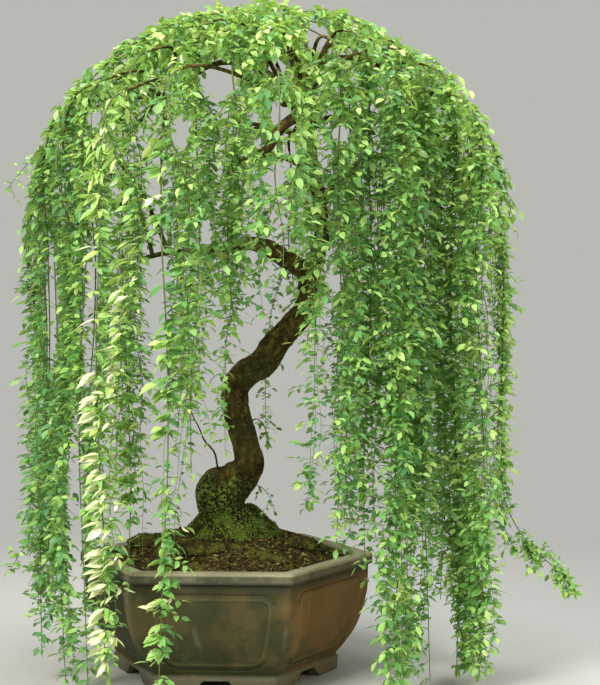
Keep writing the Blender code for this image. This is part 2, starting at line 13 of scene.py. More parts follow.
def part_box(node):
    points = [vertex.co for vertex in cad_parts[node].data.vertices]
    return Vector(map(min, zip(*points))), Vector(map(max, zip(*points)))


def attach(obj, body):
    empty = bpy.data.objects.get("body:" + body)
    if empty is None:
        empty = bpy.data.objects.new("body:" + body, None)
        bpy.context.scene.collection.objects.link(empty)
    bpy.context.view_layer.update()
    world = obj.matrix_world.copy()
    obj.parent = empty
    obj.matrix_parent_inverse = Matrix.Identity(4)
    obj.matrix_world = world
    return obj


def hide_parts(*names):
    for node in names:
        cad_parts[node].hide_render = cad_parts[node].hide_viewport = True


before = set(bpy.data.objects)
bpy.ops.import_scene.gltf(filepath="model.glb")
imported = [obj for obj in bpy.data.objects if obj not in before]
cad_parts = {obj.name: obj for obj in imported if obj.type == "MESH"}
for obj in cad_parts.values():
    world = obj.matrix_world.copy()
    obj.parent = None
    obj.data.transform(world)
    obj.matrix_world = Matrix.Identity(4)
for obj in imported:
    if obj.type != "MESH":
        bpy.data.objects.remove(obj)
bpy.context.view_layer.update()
POT_LOW, POT_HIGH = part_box("pot")
MIDDLE = np.array([(POT_LOW.x + POT_HIGH.x) / 2, (POT_LOW.y + POT_HIGH.y) / 2, 0.0])
MIDDLE_X = float(MIDDLE[0])

# ---------------------------------------------------------------- the pot's sizes
POT_TURN = math.radians(-2.5)
RIM_TOP = POT_HIGH.z
RIM_REACH = 0.150                 # axis to a corner of the rim
LIP_INSIDE = 0.134
LIP_FOOT = 0.107
LIP_ROUND_IN, LIP_ROUND_OUT, LIP_ROUND_UNDER = 0.0020, 0.0022, 0.0018
EDGE_BAND = 0.0012                # how far in from the rim's edge it is worn
# the wall from under the lip down, as (reach, height)
WALL_ROWS = ((0.1456, 0.1060), (0.1454, 0.0955), (0.1450, 0.083), (0.1415, 0.067), (0.1378, 0.0545),
             (0.1311, 0.0400), (0.1208, 0.0257), (0.1130, 0.0165))
WALL_STEP = 0.00125               # between two rows of the wall's mesh
WALL = 0.0085                     # thickness
CORNER_IN, CORNER_OUT = 0.004, 0.005
PLINTH_REACH, PLINTH_TOP = 0.1150, 0.0130
ARCH_HALF, ARCH_TOP, ARCH_ROUND = 0.018, 0.0105, 0.005
FOOT_INSIDE = 0.098
FLOOR_TOP, FLOOR_HALF = 0.0175, 0.05
DRAIN = 0.011
PANEL_TOP, PANEL_FOOT = 0.0925, 0.0275
PANEL_MARGIN = 0.0190             # from a corner to the panel's bead
PANEL_ROUND = 0.009
BEAD_HIGH, BEAD_WIDE = 0.0011, 0.0014
GROOVE_OUT = 0.0048               # from the bead out to the groove round it
GROOVE_DEEP, GROOVE_WIDE = 0.0012, 0.0010
PANEL_SUNK, PANEL_EDGE = 0.0004, 0.0006
RELIEF_SEEN = 0.0006              # moulding that stands out by more is worn pale, and moulding that lies in by more gets painted shade
CHIP_FROM, CHIP_DEEP = 0.30, 0.0016
# places across half a side where the pot's mesh has columns, close together at the moulding
COLUMN_STEPS = (0.0, 0.002, 0.004, 0.007, 0.010, 0.013, 0.0155, 0.0166, 0.0176, 0.0186, 0.0197, 0.0210,
                0.0224, 0.0234, 0.0243, 0.0252, 0.0261, 0.0270, 0.0280, 0.0295, 0.0320, 0.0350)
COLUMN_SPAN = 0.062               # half a side for which these places hold
MID_COLUMNS = 7
CORNER_COLUMNS = 5

# ---------------------------------------------------------------- sizes of the soil, the moss and the wood
SOIL_EDGE = 0.1132
SOIL_REACH, SOIL_FOOT_REACH, SOIL_FOOT = 0.1335, 0.1120, 0.034
SOIL_RINGS, SOIL_POINTS = 48, 186
CRUMBS, CRUMB_REACH, CRUMB_OFF_ROOT = 2600, 0.1310, 0.034
STRAWS, STRAW_REACH, STRAW_OFF_ROOT, STRAW_THICK = 160, 0.1305, 0.036, 0.00035
# unevenness, as waves of (height, scale, seed)
CLAY_WAVES = ((0.00030, 26, 0), (0.00012, 140, 3))
SOIL_WAVES = ((0.0016, 45, 0), (0.0012, 130, 5), (0.0007, 330, 9))
CUSHION_WAVES = ((0.0022, 70, 2), (0.0012, 190, 0), (0.0007, 420, 4))
SKIRT_WAVES = ((0.0040, 42, 8), (0.0024, 110, 2), (0.0008, 330, 5))
# the mound from its middle out, as (reach, height)
MOUND = ((0.0, 0.1402), (0.034, 0.1396), (0.056, 0.1366), (0.076, 0.1314), (0.095, 0.1242), (0.112, 0.1133))

# the root crown and its swelling, as (middle, radii)
ROOT_LUMPS = (((0.0065, 0.0, 0.141), (0.0365, 0.032, 0.0265)),
              ((-0.0065, -0.002, 0.1745), (0.0245, 0.0235, 0.0295)))
SKIRT_X, SKIRT_Y, SKIRT_WIDER = 0.005, -0.003, 1.05
# the moss round the root crown, as (reach, height)
SKIRT = ((0.018, 0.1655), (0.0225, 0.1645), (0.031, 0.1565), (0.038, 0.1480), (0.046, 0.1415),
         (0.056, 0.1370))
SKIRT_LEFT_LOWER, SKIRT_EDGE, SKIRT_UNDER, SKIRT_THICK = 0.003, 0.012, 0.0012, 0.004
SKIRT_RINGS, SKIRT_POINTS, SKIRT_SPRIGS = 26, 150, 3600
CUSHION_VOXEL, CUSHION_SINKS, CUSHION_SPRIGS = 0.0015, 0.0010, 700
SPRIG_TALL, SKIRT_SPRIG_TALL = 0.0021, 0.0022
# surface roots as (bearing, reach), and how each runs out: (share of its reach, height, radius)
ROOTS = ((200, 0.062), (262, 0.056), (320, 0.060), (20, 0.058), (100, 0.052))
ROOT_RUN = ((0.2, 0.1395, 0.0075), (0.55, 0.1320, 0.0058), (0.8, 0.1265, 0.0042), (1.0, 0.1180, 0.0024))
WOOD_VOXEL, WOOD_STEP = 0.0017, 0.004
FULL_GIRTH = 0.014                # wood this thick has all its ridges
BARK_RIDGE, BARK_KNOB, BARK_FINE, BARK_SINKS = 0.0009, 0.0015, 0.0004, 0.0004
# trunk and limbs: (x, y, z, radius)
TRUNK = ((-0.0040, 0.000, 0.148, 0.0200), (-0.0060, 0.000, 0.172, 0.0220), (0.0085, -0.002, 0.188, 0.0208),
         (0.0232, -0.006, 0.206, 0.0160), (0.0195, -0.009, 0.230, 0.0136), (0.0115, -0.009, 0.260, 0.0138),
         (0.0105, -0.006, 0.284, 0.0141), (0.0200, -0.003, 0.2985, 0.0143), (0.0375, 0.002, 0.310, 0.0140),
         (0.0510, 0.005, 0.330, 0.0143), (0.0690, 0.007, 0.3495, 0.0130), (0.0810, 0.007, 0.368, 0.0113),
         (0.0855, 0.004, 0.398, 0.0106), (0.0920, 0.001, 0.4150, 0.0090), (0.0975, 0.000, 0.437, 0.0080),
         (0.0950, 0.003, 0.476, 0.0072), (0.0850, 0.005, 0.525, 0.0063), (0.0760, 0.003, 0.566, 0.0052),
         (0.0700, 0.000, 0.602, 0.0038), (0.0680, -0.002, 0.630, 0.0026))
LIMBS = {
    "low_left": (
        (0.0850, 0.004, 0.399, 0.0098), (0.0620, 0.000, 0.4155, 0.0094), (0.0400, -0.006, 0.4275, 0.0088),
        (0.0250, -0.010, 0.431, 0.0070), (0.0060, -0.014, 0.427, 0.0050), (-0.0110, -0.018, 0.424, 0.0042),
        (-0.0330, -0.022, 0.422, 0.0036), (-0.0560, -0.026, 0.4205, 0.0031),
        (-0.0790, -0.030, 0.415, 0.0026),
    ),
    "high_left": (
        (0.0762, 0.002, 0.565, 0.0056), (0.0530, -0.012, 0.544, 0.0056), (0.0410, -0.020, 0.523, 0.0052),
        (0.0270, -0.026, 0.515, 0.0044), (0.0130, -0.032, 0.510, 0.0037), (0.0020, -0.038, 0.492, 0.0028),
    ),
    "inner_arc": (
        (0.0390, -0.019, 0.517, 0.0030), (0.0550, -0.024, 0.517, 0.0027), (0.0720, -0.028, 0.509, 0.0024),
        (0.1010, -0.034, 0.496, 0.0019),
    ),
    "right": (
        (0.0955, 0.002, 0.470, 0.0056), (0.1200, 0.006, 0.500, 0.0050), (0.1500, 0.010, 0.520, 0.0042),
        (0.1800, 0.012, 0.522, 0.0034), (0.2080, 0.012, 0.508, 0.0027),
    ),
    "back": (
        (0.0860, 0.005, 0.520, 0.0052), (0.0800, 0.045, 0.550, 0.0046), (0.0740, 0.090, 0.565, 0.0038),
        (0.0660, 0.130, 0.560, 0.0030),
    ),
    "front": (
        (0.0900, 0.004, 0.500, 0.0050), (0.0860, -0.035, 0.536, 0.0044), (0.0800, -0.075, 0.556, 0.0037),
        (0.0590, -0.114, 0.553, 0.0029),
    ),
    "top_left": (
        (0.0740, 0.003, 0.575, 0.0044), (0.0400, 0.004, 0.607, 0.0038), (0.0000, 0.006, 0.618, 0.0032),
        (-0.0420, 0.006, 0.600, 0.0026), (-0.0820, 0.004, 0.570, 0.0022),
    ),
    "top_right": (
        (0.0715, 0.001, 0.592, 0.0036), (0.1050, -0.002, 0.619, 0.0032), (0.1450, -0.004, 0.616, 0.0027),
        (0.1820, -0.006, 0.594, 0.0022),
    ),
}
TWIG_FROM = 14                    # the trunk's point from which twigs may leave
TWIG_THICK, TWIG_END, TWIG_CLEAR = 0.0026, 0.0014, 0.001
TWIG_RISE = 0.045                 # how far over a stem's beginning its twig may leave the wood
NEARBY, OWN_END = 0.16, 0.024     # stems that a twig keeps off, and the part of its own that it may touch
STEM_THICK, SPRAY_THICK = 0.0080, 0.0105     # room that they need
ASKEW = (0.31, 0.91, 0.27)        # a way that no stem runs, to start its side ways from

# ---------------------------------------------------------------- sizes of the crown and its stems
CROWN_X = 0.045
CROWN_HALF_X, CROWN_HALF_Y = 0.250, 0.235
CROWN_BASE, CROWN_RISE, CROWN_POWER = 0.398, 0.276, 2.2
SHOULDER_IN, SHOULDER_UNDER = 0.030, 0.016
SHOULDER_BEND = ((0.0, 0.0), (0.013, -0.006), (0.023, -0.020), (0.029, -0.044))
HANG_STEPS, HANG_SWAY = 5, 0.004
STEM_STEP = 0.005
# where a hanging stem hangs, and the height of its tip: (x, y, tip)
HANGING = {
    "left": (
        (-0.203, 0.030, 0.125), (-0.175, -0.050, 0.030), (-0.148, -0.095, 0.012), (-0.124, -0.128, 0.014),
        (-0.192, 0.100, 0.055), (-0.157, 0.125, 0.112), (-0.186, -0.006, 0.062), (-0.150, 0.010, 0.260),
    ),
    "front": (
        (-0.102, -0.170, 0.047), (-0.084, -0.135, 0.095), (-0.044, -0.190, 0.026), (-0.022, -0.122, 0.210),
        (0.014, -0.150, 0.345), (0.083, -0.115, 0.330), (0.112, -0.162, 0.146), (0.138, -0.128, 0.128),
        (0.058, -0.212, 0.395),
    ),
    "right": (
        (0.166, -0.149, 0.016), (0.194, -0.105, 0.012), (0.226, -0.066, 0.014), (0.247, -0.094, 0.016),
        (0.279, 0.004, 0.165), (0.224, 0.064, 0.056), (0.198, 0.122, 0.088), (0.255, 0.032, 0.046),
        (0.184, -0.056, 0.200),
    ),
    "back": (
        (-0.118, 0.170, 0.182), (-0.064, 0.192, 0.240), (-0.002, 0.212, 0.365), (0.066, 0.222, 0.345),
        (0.120, 0.200, 0.240), (0.162, 0.172, 0.105), (0.130, 0.104, 0.160),
    ),
}
# the stray stem's centre line
STRAY = ((0.2560, -0.046, 0.480), (0.2690, -0.047, 0.466), (0.2740, -0.047, 0.430), (0.2750, -0.047, 0.330),
         (0.2740, -0.047, 0.230), (0.2790, -0.047, 0.170), (0.3030, -0.045, 0.130), (0.3270, -0.042, 0.108),
         (0.3460, -0.040, 0.086))
# sprays over the crown: bearing, and from which share of its half width to which
SPRAYS = ((16, 0.10, 0.55), (30, 0.40, 0.86), (44, 0.10, 0.55), (72, 0.12, 0.70), (94, 0.40, 0.86),
          (126, 0.12, 0.72), (156, 0.40, 0.86), (184, 0.10, 0.55), (202, 0.40, 0.86), (220, 0.10, 0.55),
          (272, 0.12, 0.72), (318, 0.10, 0.55), (354, 0.40, 0.86))
SPRAY_POINTS, SPRAY_UNDER = 7, 0.0105

# how a stem's leafage looks: leaf length, warmth of its green from 0 to 1, stems beside the main one and how
# far they stand off, the gap between side shoots and their reach, and how far down the shortest stem beside
# it ends
HABITS = {
    "left": (0.0106, 0.40, 4, 0.013, 0.0064, 0.016, 0.78),
    "front": (0.0108, 0.50, 5, 0.019, 0.0070, 0.017, 0.68),
    "wide": (0.0108, 0.52, 7, 0.028, 0.0072, 0.017, 0.80),
    "right": (0.0104, 0.48, 4, 0.012, 0.0060, 0.017, 0.92),
    # the back stems' lower warmth is partly their own cooler green and partly painted shade for the leafage
    # behind
    "back": (0.0112, 0.30, 4, 0.018, 0.0092, 0.018, 0.62),
    "spray": (0.0120, 0.56, 4, 0.022, 0.0074, 0.023, 0.75),
    "leg": (0.0108, 0.50, 5, 0.012, 0.0058, 0.017, 0.93),
    "bright": (0.0150, 0.72, 3, 0.010, 0.0064, 0.013, 0.56),
    "near": (0.0134, 0.46, 3, 0.011, 0.0064, 0.014, 0.62),
    "mid": (0.0122, 0.50, 3, 0.012, 0.0064, 0.013, 0.58),
    "slim": (0.0112, 0.70, 2, 0.006, 0.0060, 0.011, 0.90),
    "stray": (0.0088, 0.58, 2, 0.005, 0.0046, 0.009, 0.97),
}
HABIT_OF = {
    "front_1": "bright", "front_2": "mid", "front_3": "near", "front_4": "wide", "front_5": "wide",
    "front_6": "slim", "front_7": "wide", "right_1": "leg", "right_2": "leg", "right_3": "leg",
    "right_4": "leg", "right_stray": "stray",
}
# dents in the top of the crown: (across, half width, depth)
DENTS = ((0.160, 0.035, 0.007), (-0.098, 0.022, 0.010), (-0.011, 0.018, 0.008), (0.092, 0.012, 0.010))
# by how much the leaves of each stem are warmer or cooler than the others of its side
WARMER = {
    "left": (0.02, -0.10, -0.06, 0.16, -0.08, 0.12, 0.00, -0.06),
    "front": (0.0, 0.04, 0.0, 0.14, -0.02, 0.22, -0.06, -0.08, 0.04),
    "right": (-0.02, -0.08, 0.02, 0.10, 0.22, -0.04, 0.04, 0.06, -0.04),
    "back": (-0.06, 0.02, -0.08, 0.0, -0.10, -0.02, -0.06),
}
# by how much the lower ends of a stem's companions swing aside
SWING = {
    "left_2": 0.012, "left_3": 0.012, "left_4": 0.002, "front_3": -0.011, "right_1": 0.006,
    "right_2": -0.014, "right_3": 0.013, "right_4": 0.003,
}
# by how much a stem's companions bow aside in the upper half
BOW = {"front_1": 0.024, "front_3": 0.019}
# knots of leaves on the stems by the window: way, spread of the ways, leaves, and share of a leaf's length
KNOT = (((-1.0, -0.25, -0.42), 0.24, 3, 1.00), ((0.9, -0.35, -0.34), 0.34, 2, 0.88),
        ((0.1, -0.8, -0.45), 0.40, 3, 0.76), ((0.2, 0.8, -0.30), 0.40, 1, 0.66))
KNOT_EVERY = {"bright": 0.0175, "near": 0.0210, "mid": 0.0210}
KNOT_FIRST, KNOT_LOOSE = 0.12, 0.003
# painted light: how much paler the leaves by the window are made where they point to the window's side
PAINTED_WINDOW_LIGHT = {"bright": 0.36, "near": 0.22, "mid": 0.10}
# shoots that stand off their stem: share of a leaf's size, how much warmer their green is, and their points
SHOOTS = (
    ("left_1", 0.78, 0.22,
     ((-0.1588, 0.030, 0.5560), (-0.1790, 0.030, 0.5450), (-0.1953, 0.030, 0.5310), (-0.2161, 0.030, 0.5080),
      (-0.2280, 0.030, 0.4920))),
    ("left_2", 0.90, 0.22,
     ((-0.1746, -0.050, 0.1500), (-0.1880, -0.050, 0.1380), (-0.2005, -0.048, 0.1220),
      (-0.2100, -0.046, 0.1056))),
    ("right_stray", 1.10, 0.22,
     ((0.2960, -0.0455, 0.1380), (0.3020, -0.0460, 0.1240), (0.3060, -0.0460, 0.1100))),
    ("right_stray", 1.10, 0.22,
     ((0.2990, -0.0450, 0.1345), (0.3080, -0.0400, 0.1230), (0.3130, -0.0380, 0.1140))),
    ("right_stray", 1.10, 0.22,
     ((0.3270, -0.0420, 0.1080), (0.3310, -0.0440, 0.0980), (0.3350, -0.0450, 0.0840))),
    ("right_stray", 1.10, 0.22,
     ((0.3300, -0.0415, 0.1046), (0.3400, -0.0380, 0.0940), (0.3480, -0.0370, 0.0820))),
    ("back_4", 0.90, -0.05,
     ((0.0600, 0.218, 0.4200), (0.0450, 0.208, 0.3800), (0.0370, 0.202, 0.3200), (0.0350, 0.200, 0.2600),
      (0.0365, 0.198, 0.2160))),
)
# two small leafy shoots low on the trunk, and a bare twig beside it, as (x, y, z, radius)
LOW_SHOOTS = (
    ((0.0190, -0.004, 0.1850), (0.0320, -0.008, 0.1865), (0.0420, -0.010, 0.1790), (0.0500, -0.011, 0.1600)),
    ((0.0220, 0.004, 0.2500), (0.0330, 0.008, 0.2520), (0.0400, 0.010, 0.2420), (0.0440, 0.010, 0.2260)),
)
LOW_TWIG = (
    (-0.0075, -0.010, 0.2020, 0.0011), (-0.0112, -0.015, 0.2210, 0.0010), (-0.0206, -0.019, 0.2325, 0.0009),
    (-0.0258, -0.021, 0.2456, 0.0007), (-0.0320, -0.023, 0.2575, 0.0006), (-0.0360, -0.024, 0.2680, 0.0005),
)
# gaps through which one sees, at the trunk's distance from the viewer: (across, height, half width, half
# height, how much of the leafage is missing)
EYE = np.array([0.0756, -1.338, 0.3307])
GAPS = (
    (-0.0080, 0.5985, 0.0195, 0.0185, 1.0), (-0.0457, 0.5460, 0.0085, 0.0140, 1.0),
    (0.0532, 0.6103, 0.0100, 0.0070, 1.0), (0.0562, 0.5646, 0.0110, 0.0110, 1.0),
    (0.0640, 0.5280, 0.0085, 0.0070, 1.0), (0.0380, 0.5330, 0.0130, 0.0070, 0.9),
    (0.0603, 0.5513, 0.0120, 0.0085, 0.9), (0.0440, 0.5310, 0.0080, 0.0080, 0.9),
    (0.0603, 0.5105, 0.0140, 0.0055, 0.7), (0.0501, 0.4985, 0.0110, 0.0095, 1.0),
    (0.1174, 0.5422, 0.0100, 0.0075, 1.0), (-0.1350, 0.5570, 0.0080, 0.0100, 1.0),
    (0.0560, 0.4600, 0.0090, 0.0150, 0.8), (0.1113, 0.3915, 0.0085, 0.0100, 1.0),
    (-0.0680, 0.4060, 0.0080, 0.0300, 0.9), (0.0480, 0.3800, 0.0130, 0.0260, 0.65),
    (0.0300, 0.5560, 0.0060, 0.0080, 1.0), (-0.0200, 0.4420, 0.0060, 0.0120, 1.0),
    (-0.0200, 0.3300, 0.0060, 0.0560, 0.45), (-0.0530, 0.2120, 0.0220, 0.0480, 0.62),
    (-0.0722, 0.3640, 0.0085, 0.0260, 0.9), (-0.0150, 0.2050, 0.0260, 0.0500, 0.60),
    (-0.1374, 0.3720, 0.0080, 0.0850, 0.85), (-0.1775, 0.3640, 0.0070, 0.0640, 0.95),
    (0.0145, 0.2721, 0.0115, 0.0560, 0.95), (-0.1270, 0.1900, 0.0060, 0.0500, 0.4),
    (-0.0720, 0.1250, 0.0060, 0.0500, 0.7), (0.2183, 0.0123, 0.0150, 0.0600, 1.0),
    (0.1990, 0.1050, 0.0240, 0.0330, 0.55), (0.1510, 0.1830, 0.0085, 0.0640, 0.62),
    (0.2650, 0.2823, 0.0110, 0.1050, 0.64), (0.1500, 0.4600, 0.0070, 0.0300, 0.5),
    (0.2050, 0.4300, 0.0060, 0.0300, 0.4), (0.0501, 0.4280, 0.0200, 0.0110, 0.7),
    (0.0807, 0.3960, 0.0120, 0.0280, 0.6), (0.0980, 0.2600, 0.0165, 0.0800, 0.52),
    (0.0950, 0.6400, 0.0115, 0.0160, 1.0), (0.1286, 0.6247, 0.0090, 0.0070, 0.70),
    (-0.1934, 0.0276, 0.0130, 0.0440, 0.3), (0.3270, 0.1050, 0.0050, 0.0080, 0.95),
    (0.2930, 0.1450, 0.0080, 0.0110, 0.7),
)
# and places where only the nearest stems hang before what lies behind
GAPS_BEHIND = ((-0.0850, 0.0700, 0.0420, 0.0760, 0.92), (-0.1537, 0.1600, 0.0080, 0.0850, 0.9))
GAP_RAGGED, GAP_EDGE, GAP_SHARP = 0.16, 1.35, 2.4
# a stem bends round a gap that is this clear and this narrow, from this many half heights above and below it
BEND_CLEAR, BEND_NARROW, BEND_REACH = 0.65, 0.02, 2.4
# leaves: (along, half width) of the toothed edge, and places along the rib
FINE_LEAF = (((0.10, 0.34), (0.24, 0.86), (0.35, 0.82), (0.48, 1.00), (0.58, 0.80), (0.70, 0.74),
              (0.82, 0.40)), (0.0, 0.26, 0.52, 0.78, 1.0))
PLAIN_LEAF = (((0.15, 0.60), (0.42, 1.00), (0.74, 0.66)), (0.0, 0.50, 1.0))
LEAF_WIDTH = 0.54                 # of its length
SLIM_LEAF = 0.78                  # share of that for the leaves nearest the window
SIDE_SHOOT, LEAF_EVERY = 0.00036, 0.0045     # a side shoot's radius, and its length for each leaf
FEWEST_LEAVES, MOST_LEAVES = 2, 6
SPIRAL = math.radians(137.5)      # from one leaf round the stem to the next
ROUND = 6.28
THIRDS = (0.0, 2.09, 4.19)
TUFT = 0.036                      # from one tuft of longer side shoots down a stem to the next
DOWN = np.array([0.0, 0.0, -1.0])
# for leaves on the stem, on a side shoot and at its end, in a knot and at the stem's tip: least and greatest
# share of the usual length, how much warmer their green is (painted shade on the leaves on the stem inside the
# leafage, painted light on those further out), and how unevenly their upper sides lie
LENGTHS = {
    "stem": (0.55, 1.15), "side": (0.5, 0.95), "end": (0.7, 1.1), "knot": (0.8, 1.15), "tip": (0.6, 1.0),
}
PAINTED_SHADE_AND_LIGHT_AT = {"stem": -0.12, "side": 0.03, "end": 0.08, "knot": 0.08, "tip": 0.14}
TILT = {"stem": 0.34, "shoot": 0.26, "side": 0.34, "end": 0.35, "knot": 0.30}
# how far apart leaves and side shoots stand, by the habit's gap, on a plain stem and on one with knots
PLAIN_GAPS, KNOTTED_GAPS = (0.9, 1.0), (1.8, 3.2)
PATCHY, PATCHY_PALE = 0.10, 0.04  # how much the green drifts from patch to patch
# the painted light on the leaves by the window is strongest up to a height and fades over the next stretch;
# these leaves are also longer on the window's side
PALE_BELOW, PALE_FADES, PALE_LONGER = 0.40, 0.07, 0.3
WARMEST = 0.74                    # the warmest green away from the window
STANDS_UP = 0.0025                # how far most leaves may stand out of the crown's top
# stems: radius at the foot and at the tip, sides, and how green
MAIN_STEM, BESIDE_STEM = (0.0010, 0.0004, 5, 0.35), (0.0005, 0.0002, 4, 0.6)
FREE_SHOOT, LOW_SHOOT = (0.0006, 0.0003, 4, 0.8), (0.0006, 0.0003, 4, 0.6)

# ---------------------------------------------------------------- tones of the finishes
CLAY = {
    "olive": (0.037, 0.037, 0.012), "brown": (0.077, 0.061, 0.020), "red": (0.190, 0.094, 0.025),
    "algae": (0.036, 0.050, 0.012), "lime": (0.230, 0.205, 0.140), "dry foot": (0.180, 0.155, 0.105),
    "under the lip": (0.022, 0.024, 0.010), "dull lip": (0.066, 0.062, 0.037),
    "clean lip": (0.118, 0.111, 0.070), "red lip": (0.175, 0.112, 0.050),
    "front edge": (0.320, 0.302, 0.190), "right edge": (0.460, 0.400, 0.205),
    "lip's foot": (0.036, 0.036, 0.020), "worn": (0.220, 0.178, 0.100), "grimy": (0.024, 0.020, 0.010),
    "speck": (0.040, 0.032, 0.018),
}
EARTH = ((0.30, (0.012, 0.008, 0.002)), (0.50, (0.040, 0.025, 0.006)), (0.66, (0.105, 0.078, 0.016)),
         (0.80, (0.240, 0.210, 0.050)))
EARTH_GREEN = (0.046, 0.058, 0.007), (0.190, 0.195, 0.022)
CRUMB = ((0.0, (0.016, 0.010, 0.003)), (0.35, (0.048, 0.030, 0.008)), (0.65, (0.125, 0.092, 0.022)),
         (1.0, (0.340, 0.290, 0.085)))
CRUMB_STAIN = (0.050, 0.032, 0.014)
MOSS = {
    "deep": (0.006, 0.010, 0.002), "green": (0.074, 0.125, 0.014), "tips": (0.290, 0.350, 0.060),
    "bare": (0.036, 0.024, 0.006), "fresh": (0.190, 0.260, 0.075),
}
CUSHION = {
    "soil": (0.040, 0.030, 0.009), "green": (0.112, 0.116, 0.018), "dry": (0.190, 0.170, 0.045),
    "holes": (0.012, 0.009, 0.003),
}
BARK = {
    "dark": (0.037, 0.026, 0.005), "brown": (0.132, 0.090, 0.019), "dust": (0.235, 0.180, 0.064),
    "under scales": (0.014, 0.010, 0.003), "scales": (0.260, 0.200, 0.080), "crack": (0.008, 0.006, 0.002),
    "algae": (0.070, 0.078, 0.020), "moss": (0.008, 0.016, 0.003), "moss tips": (0.200, 0.270, 0.046),
    "moss holes": (0.010, 0.012, 0.003),
}
TWIG = {"brown": (0.075, 0.060, 0.020), "green": (0.150, 0.270, 0.060), "dark": (0.050, 0.034, 0.014)}
LEAF = ((0.0, (0.017, 0.069, 0.024)), (0.24, (0.060, 0.213, 0.058)), (0.48, (0.158, 0.425, 0.106)),
        (0.70, (0.400, 0.670, 0.172)), (0.86, (0.670, 0.805, 0.250)), (1.0, (0.915, 0.920, 0.660)))
BLADE = {
    "cool": (0.070, 0.260, 0.110), "olive": (0.170, 0.190, 0.040), "rib": (0.420, 0.560, 0.200),
    "edge": (0.720, 0.800, 0.400), "glow": (0.42, 0.62, 0.10),
}
NET = (0.020, 0.040, 0.030), (0.045, 0.070, 0.050)
WIRE = (0.300, 0.300, 0.310), (0.480, 0.480, 0.490)
GRIT = (0.35, (0.120, 0.085, 0.055)), (0.65, (0.380, 0.300, 0.210))


# ---------------------------------------------------------------- shader maths
class Wire:
    """One socket of a finish, so that shader maths reads as an expression."""

    def __init__(self, finish, socket):
        self.finish, self.socket = finish, socket

    def maths(self, how, *values):
        return self.finish.node("Math", {"operation": how}, dict(enumerate(values)))

    def __add__(self, other):
        return self.maths("ADD", self, other)

    def __sub__(self, other):
        return self.maths("SUBTRACT", self, other)

    def __rsub__(self, other):
        return self.maths("SUBTRACT", other, self)

    def __mul__(self, other):
        return self.maths("MULTIPLY", self, other)

    def __abs__(self):
        return self.maths("ABSOLUTE", self)

    __radd__, __rmul__ = __add__, __mul__


class Nodes:
    """The nodes of a material or of the world."""

    def __init__(self, tree):
        self.tree = tree

    def node(self, kind, settings=None, sockets=None, out=0):
        """A node of that kind: its settings, then its sockets, and the output that is used."""
        made = self.tree.nodes.new("ShaderNode" + kind)
        for key, value in (settings or {}).items():
            if key == "stops":
                for k, (at, colour) in enumerate(value):
                    stop = made.color_ramp.elements[k] if k < 2 else made.color_ramp.elements.new(at)
                    stop.position, stop.color = at, (*colour, 1.0)
            else:
                setattr(made, key, value)
        for key, value in (sockets or {}).items():
            self.feed(made.inputs[key], value)
        return Wire(self, made.outputs[out])

    def feed(self, socket, value):
        if isinstance(value, Wire):
            self.tree.links.new(value.socket, socket)
        elif isinstance(value, tuple) and len(value) == 3 and socket.type == "RGBA":
            socket.default_value = (*value, 1.0)
        else:
            socket.default_value = value

    def looked_at(self):
        """1 for the rays that look at the background, straight or by way of metal, glass or a thin leaf."""
        ways = [self.node("LightPath", out=f"Is {way} Ray") for way in ("Camera", "Glossy", "Transmission")]
        return self.node("Math", {"operation": "MINIMUM"}, {0: ways[0] + ways[1] + ways[2], 1: 1.0})

    def either(self, share, first, second):
        """A mix of two shaders."""
        return self.node("MixShader", {}, {0: share, 1: first, 2: second})

    def finished(self, shader, kind="Material"):
        """Makes that shader the surface of the material or world."""
        self.feed(self.tree.nodes[kind + " Output"].inputs["Surface"], shader)


class Finish(Nodes):
    """A material in the making."""

    def __init__(self, name, rough=0.8):
        self.material = bpy.data.materials.new(name)
        self.material.use_nodes = True
        super().__init__(self.material.node_tree)
        self.shader = self.tree.nodes["Principled BSDF"]
        self.shader.inputs["Roughness"].default_value = rough
        self.place = self.node("TexCoord", out="Object")

    def stretched(self, x, y, z):
        return self.node("VectorMath", {"operation": "MULTIPLY"}, {0: self.place, 1: (x, y, z)})

    def grain(self, scale, detail=3.0, where=None):
        """Noise from about 0.25 to 0.75."""
        return self.node("TexNoise", {}, {"Vector": where or self.place, "Scale": scale, "Detail": detail})

    def cells(self, scale, where=None):
        return self.node("TexVoronoi", {}, {"Vector": where or self.place, "Scale": scale})

    def ease(self, value, low, high):
        """0 below low, 1 above high."""
        return self.node("MapRange", {"interpolation_type": "SMOOTHSTEP"},
                         {"Value": value, "From Min": low, "From Max": high})

    def mix(self, share, a, b):
        return self.node("Mix", {"data_type": "RGBA"}, {0: share, 6: a, 7: b}, out=2)

    def over(self, under, tone, share, where, low, high):
        """A tone laid over what is there, growing to its share where a value rises from low to high."""
        return self.mix(self.ease(where, low, high) * share, under, tone)

    def ramp(self, value, *stops):
        return self.node("ValToRGB", {"stops": stops}, {"Fac": value})

    def axis(self, which, where=None):
        return self.node("SeparateXYZ", {}, {0: where or self.place}, out=which)

    def kept(self, name, out="Vector"):
        """A measure that the mesh carries."""
        return self.node("Attribute", {"attribute_name": name}, out=out)

    def bump(self, height, depth, strength=1.0):
        made = self.node("Bump", {}, {"Height": height, "Distance": depth, "Strength": strength})
        self.feed(self.shader.inputs["Normal"], made)

    def wear(self, **sockets):
        for key, value in sockets.items():
            self.feed(self.shader.inputs[key.replace("_", " ")], value)
        return self.material


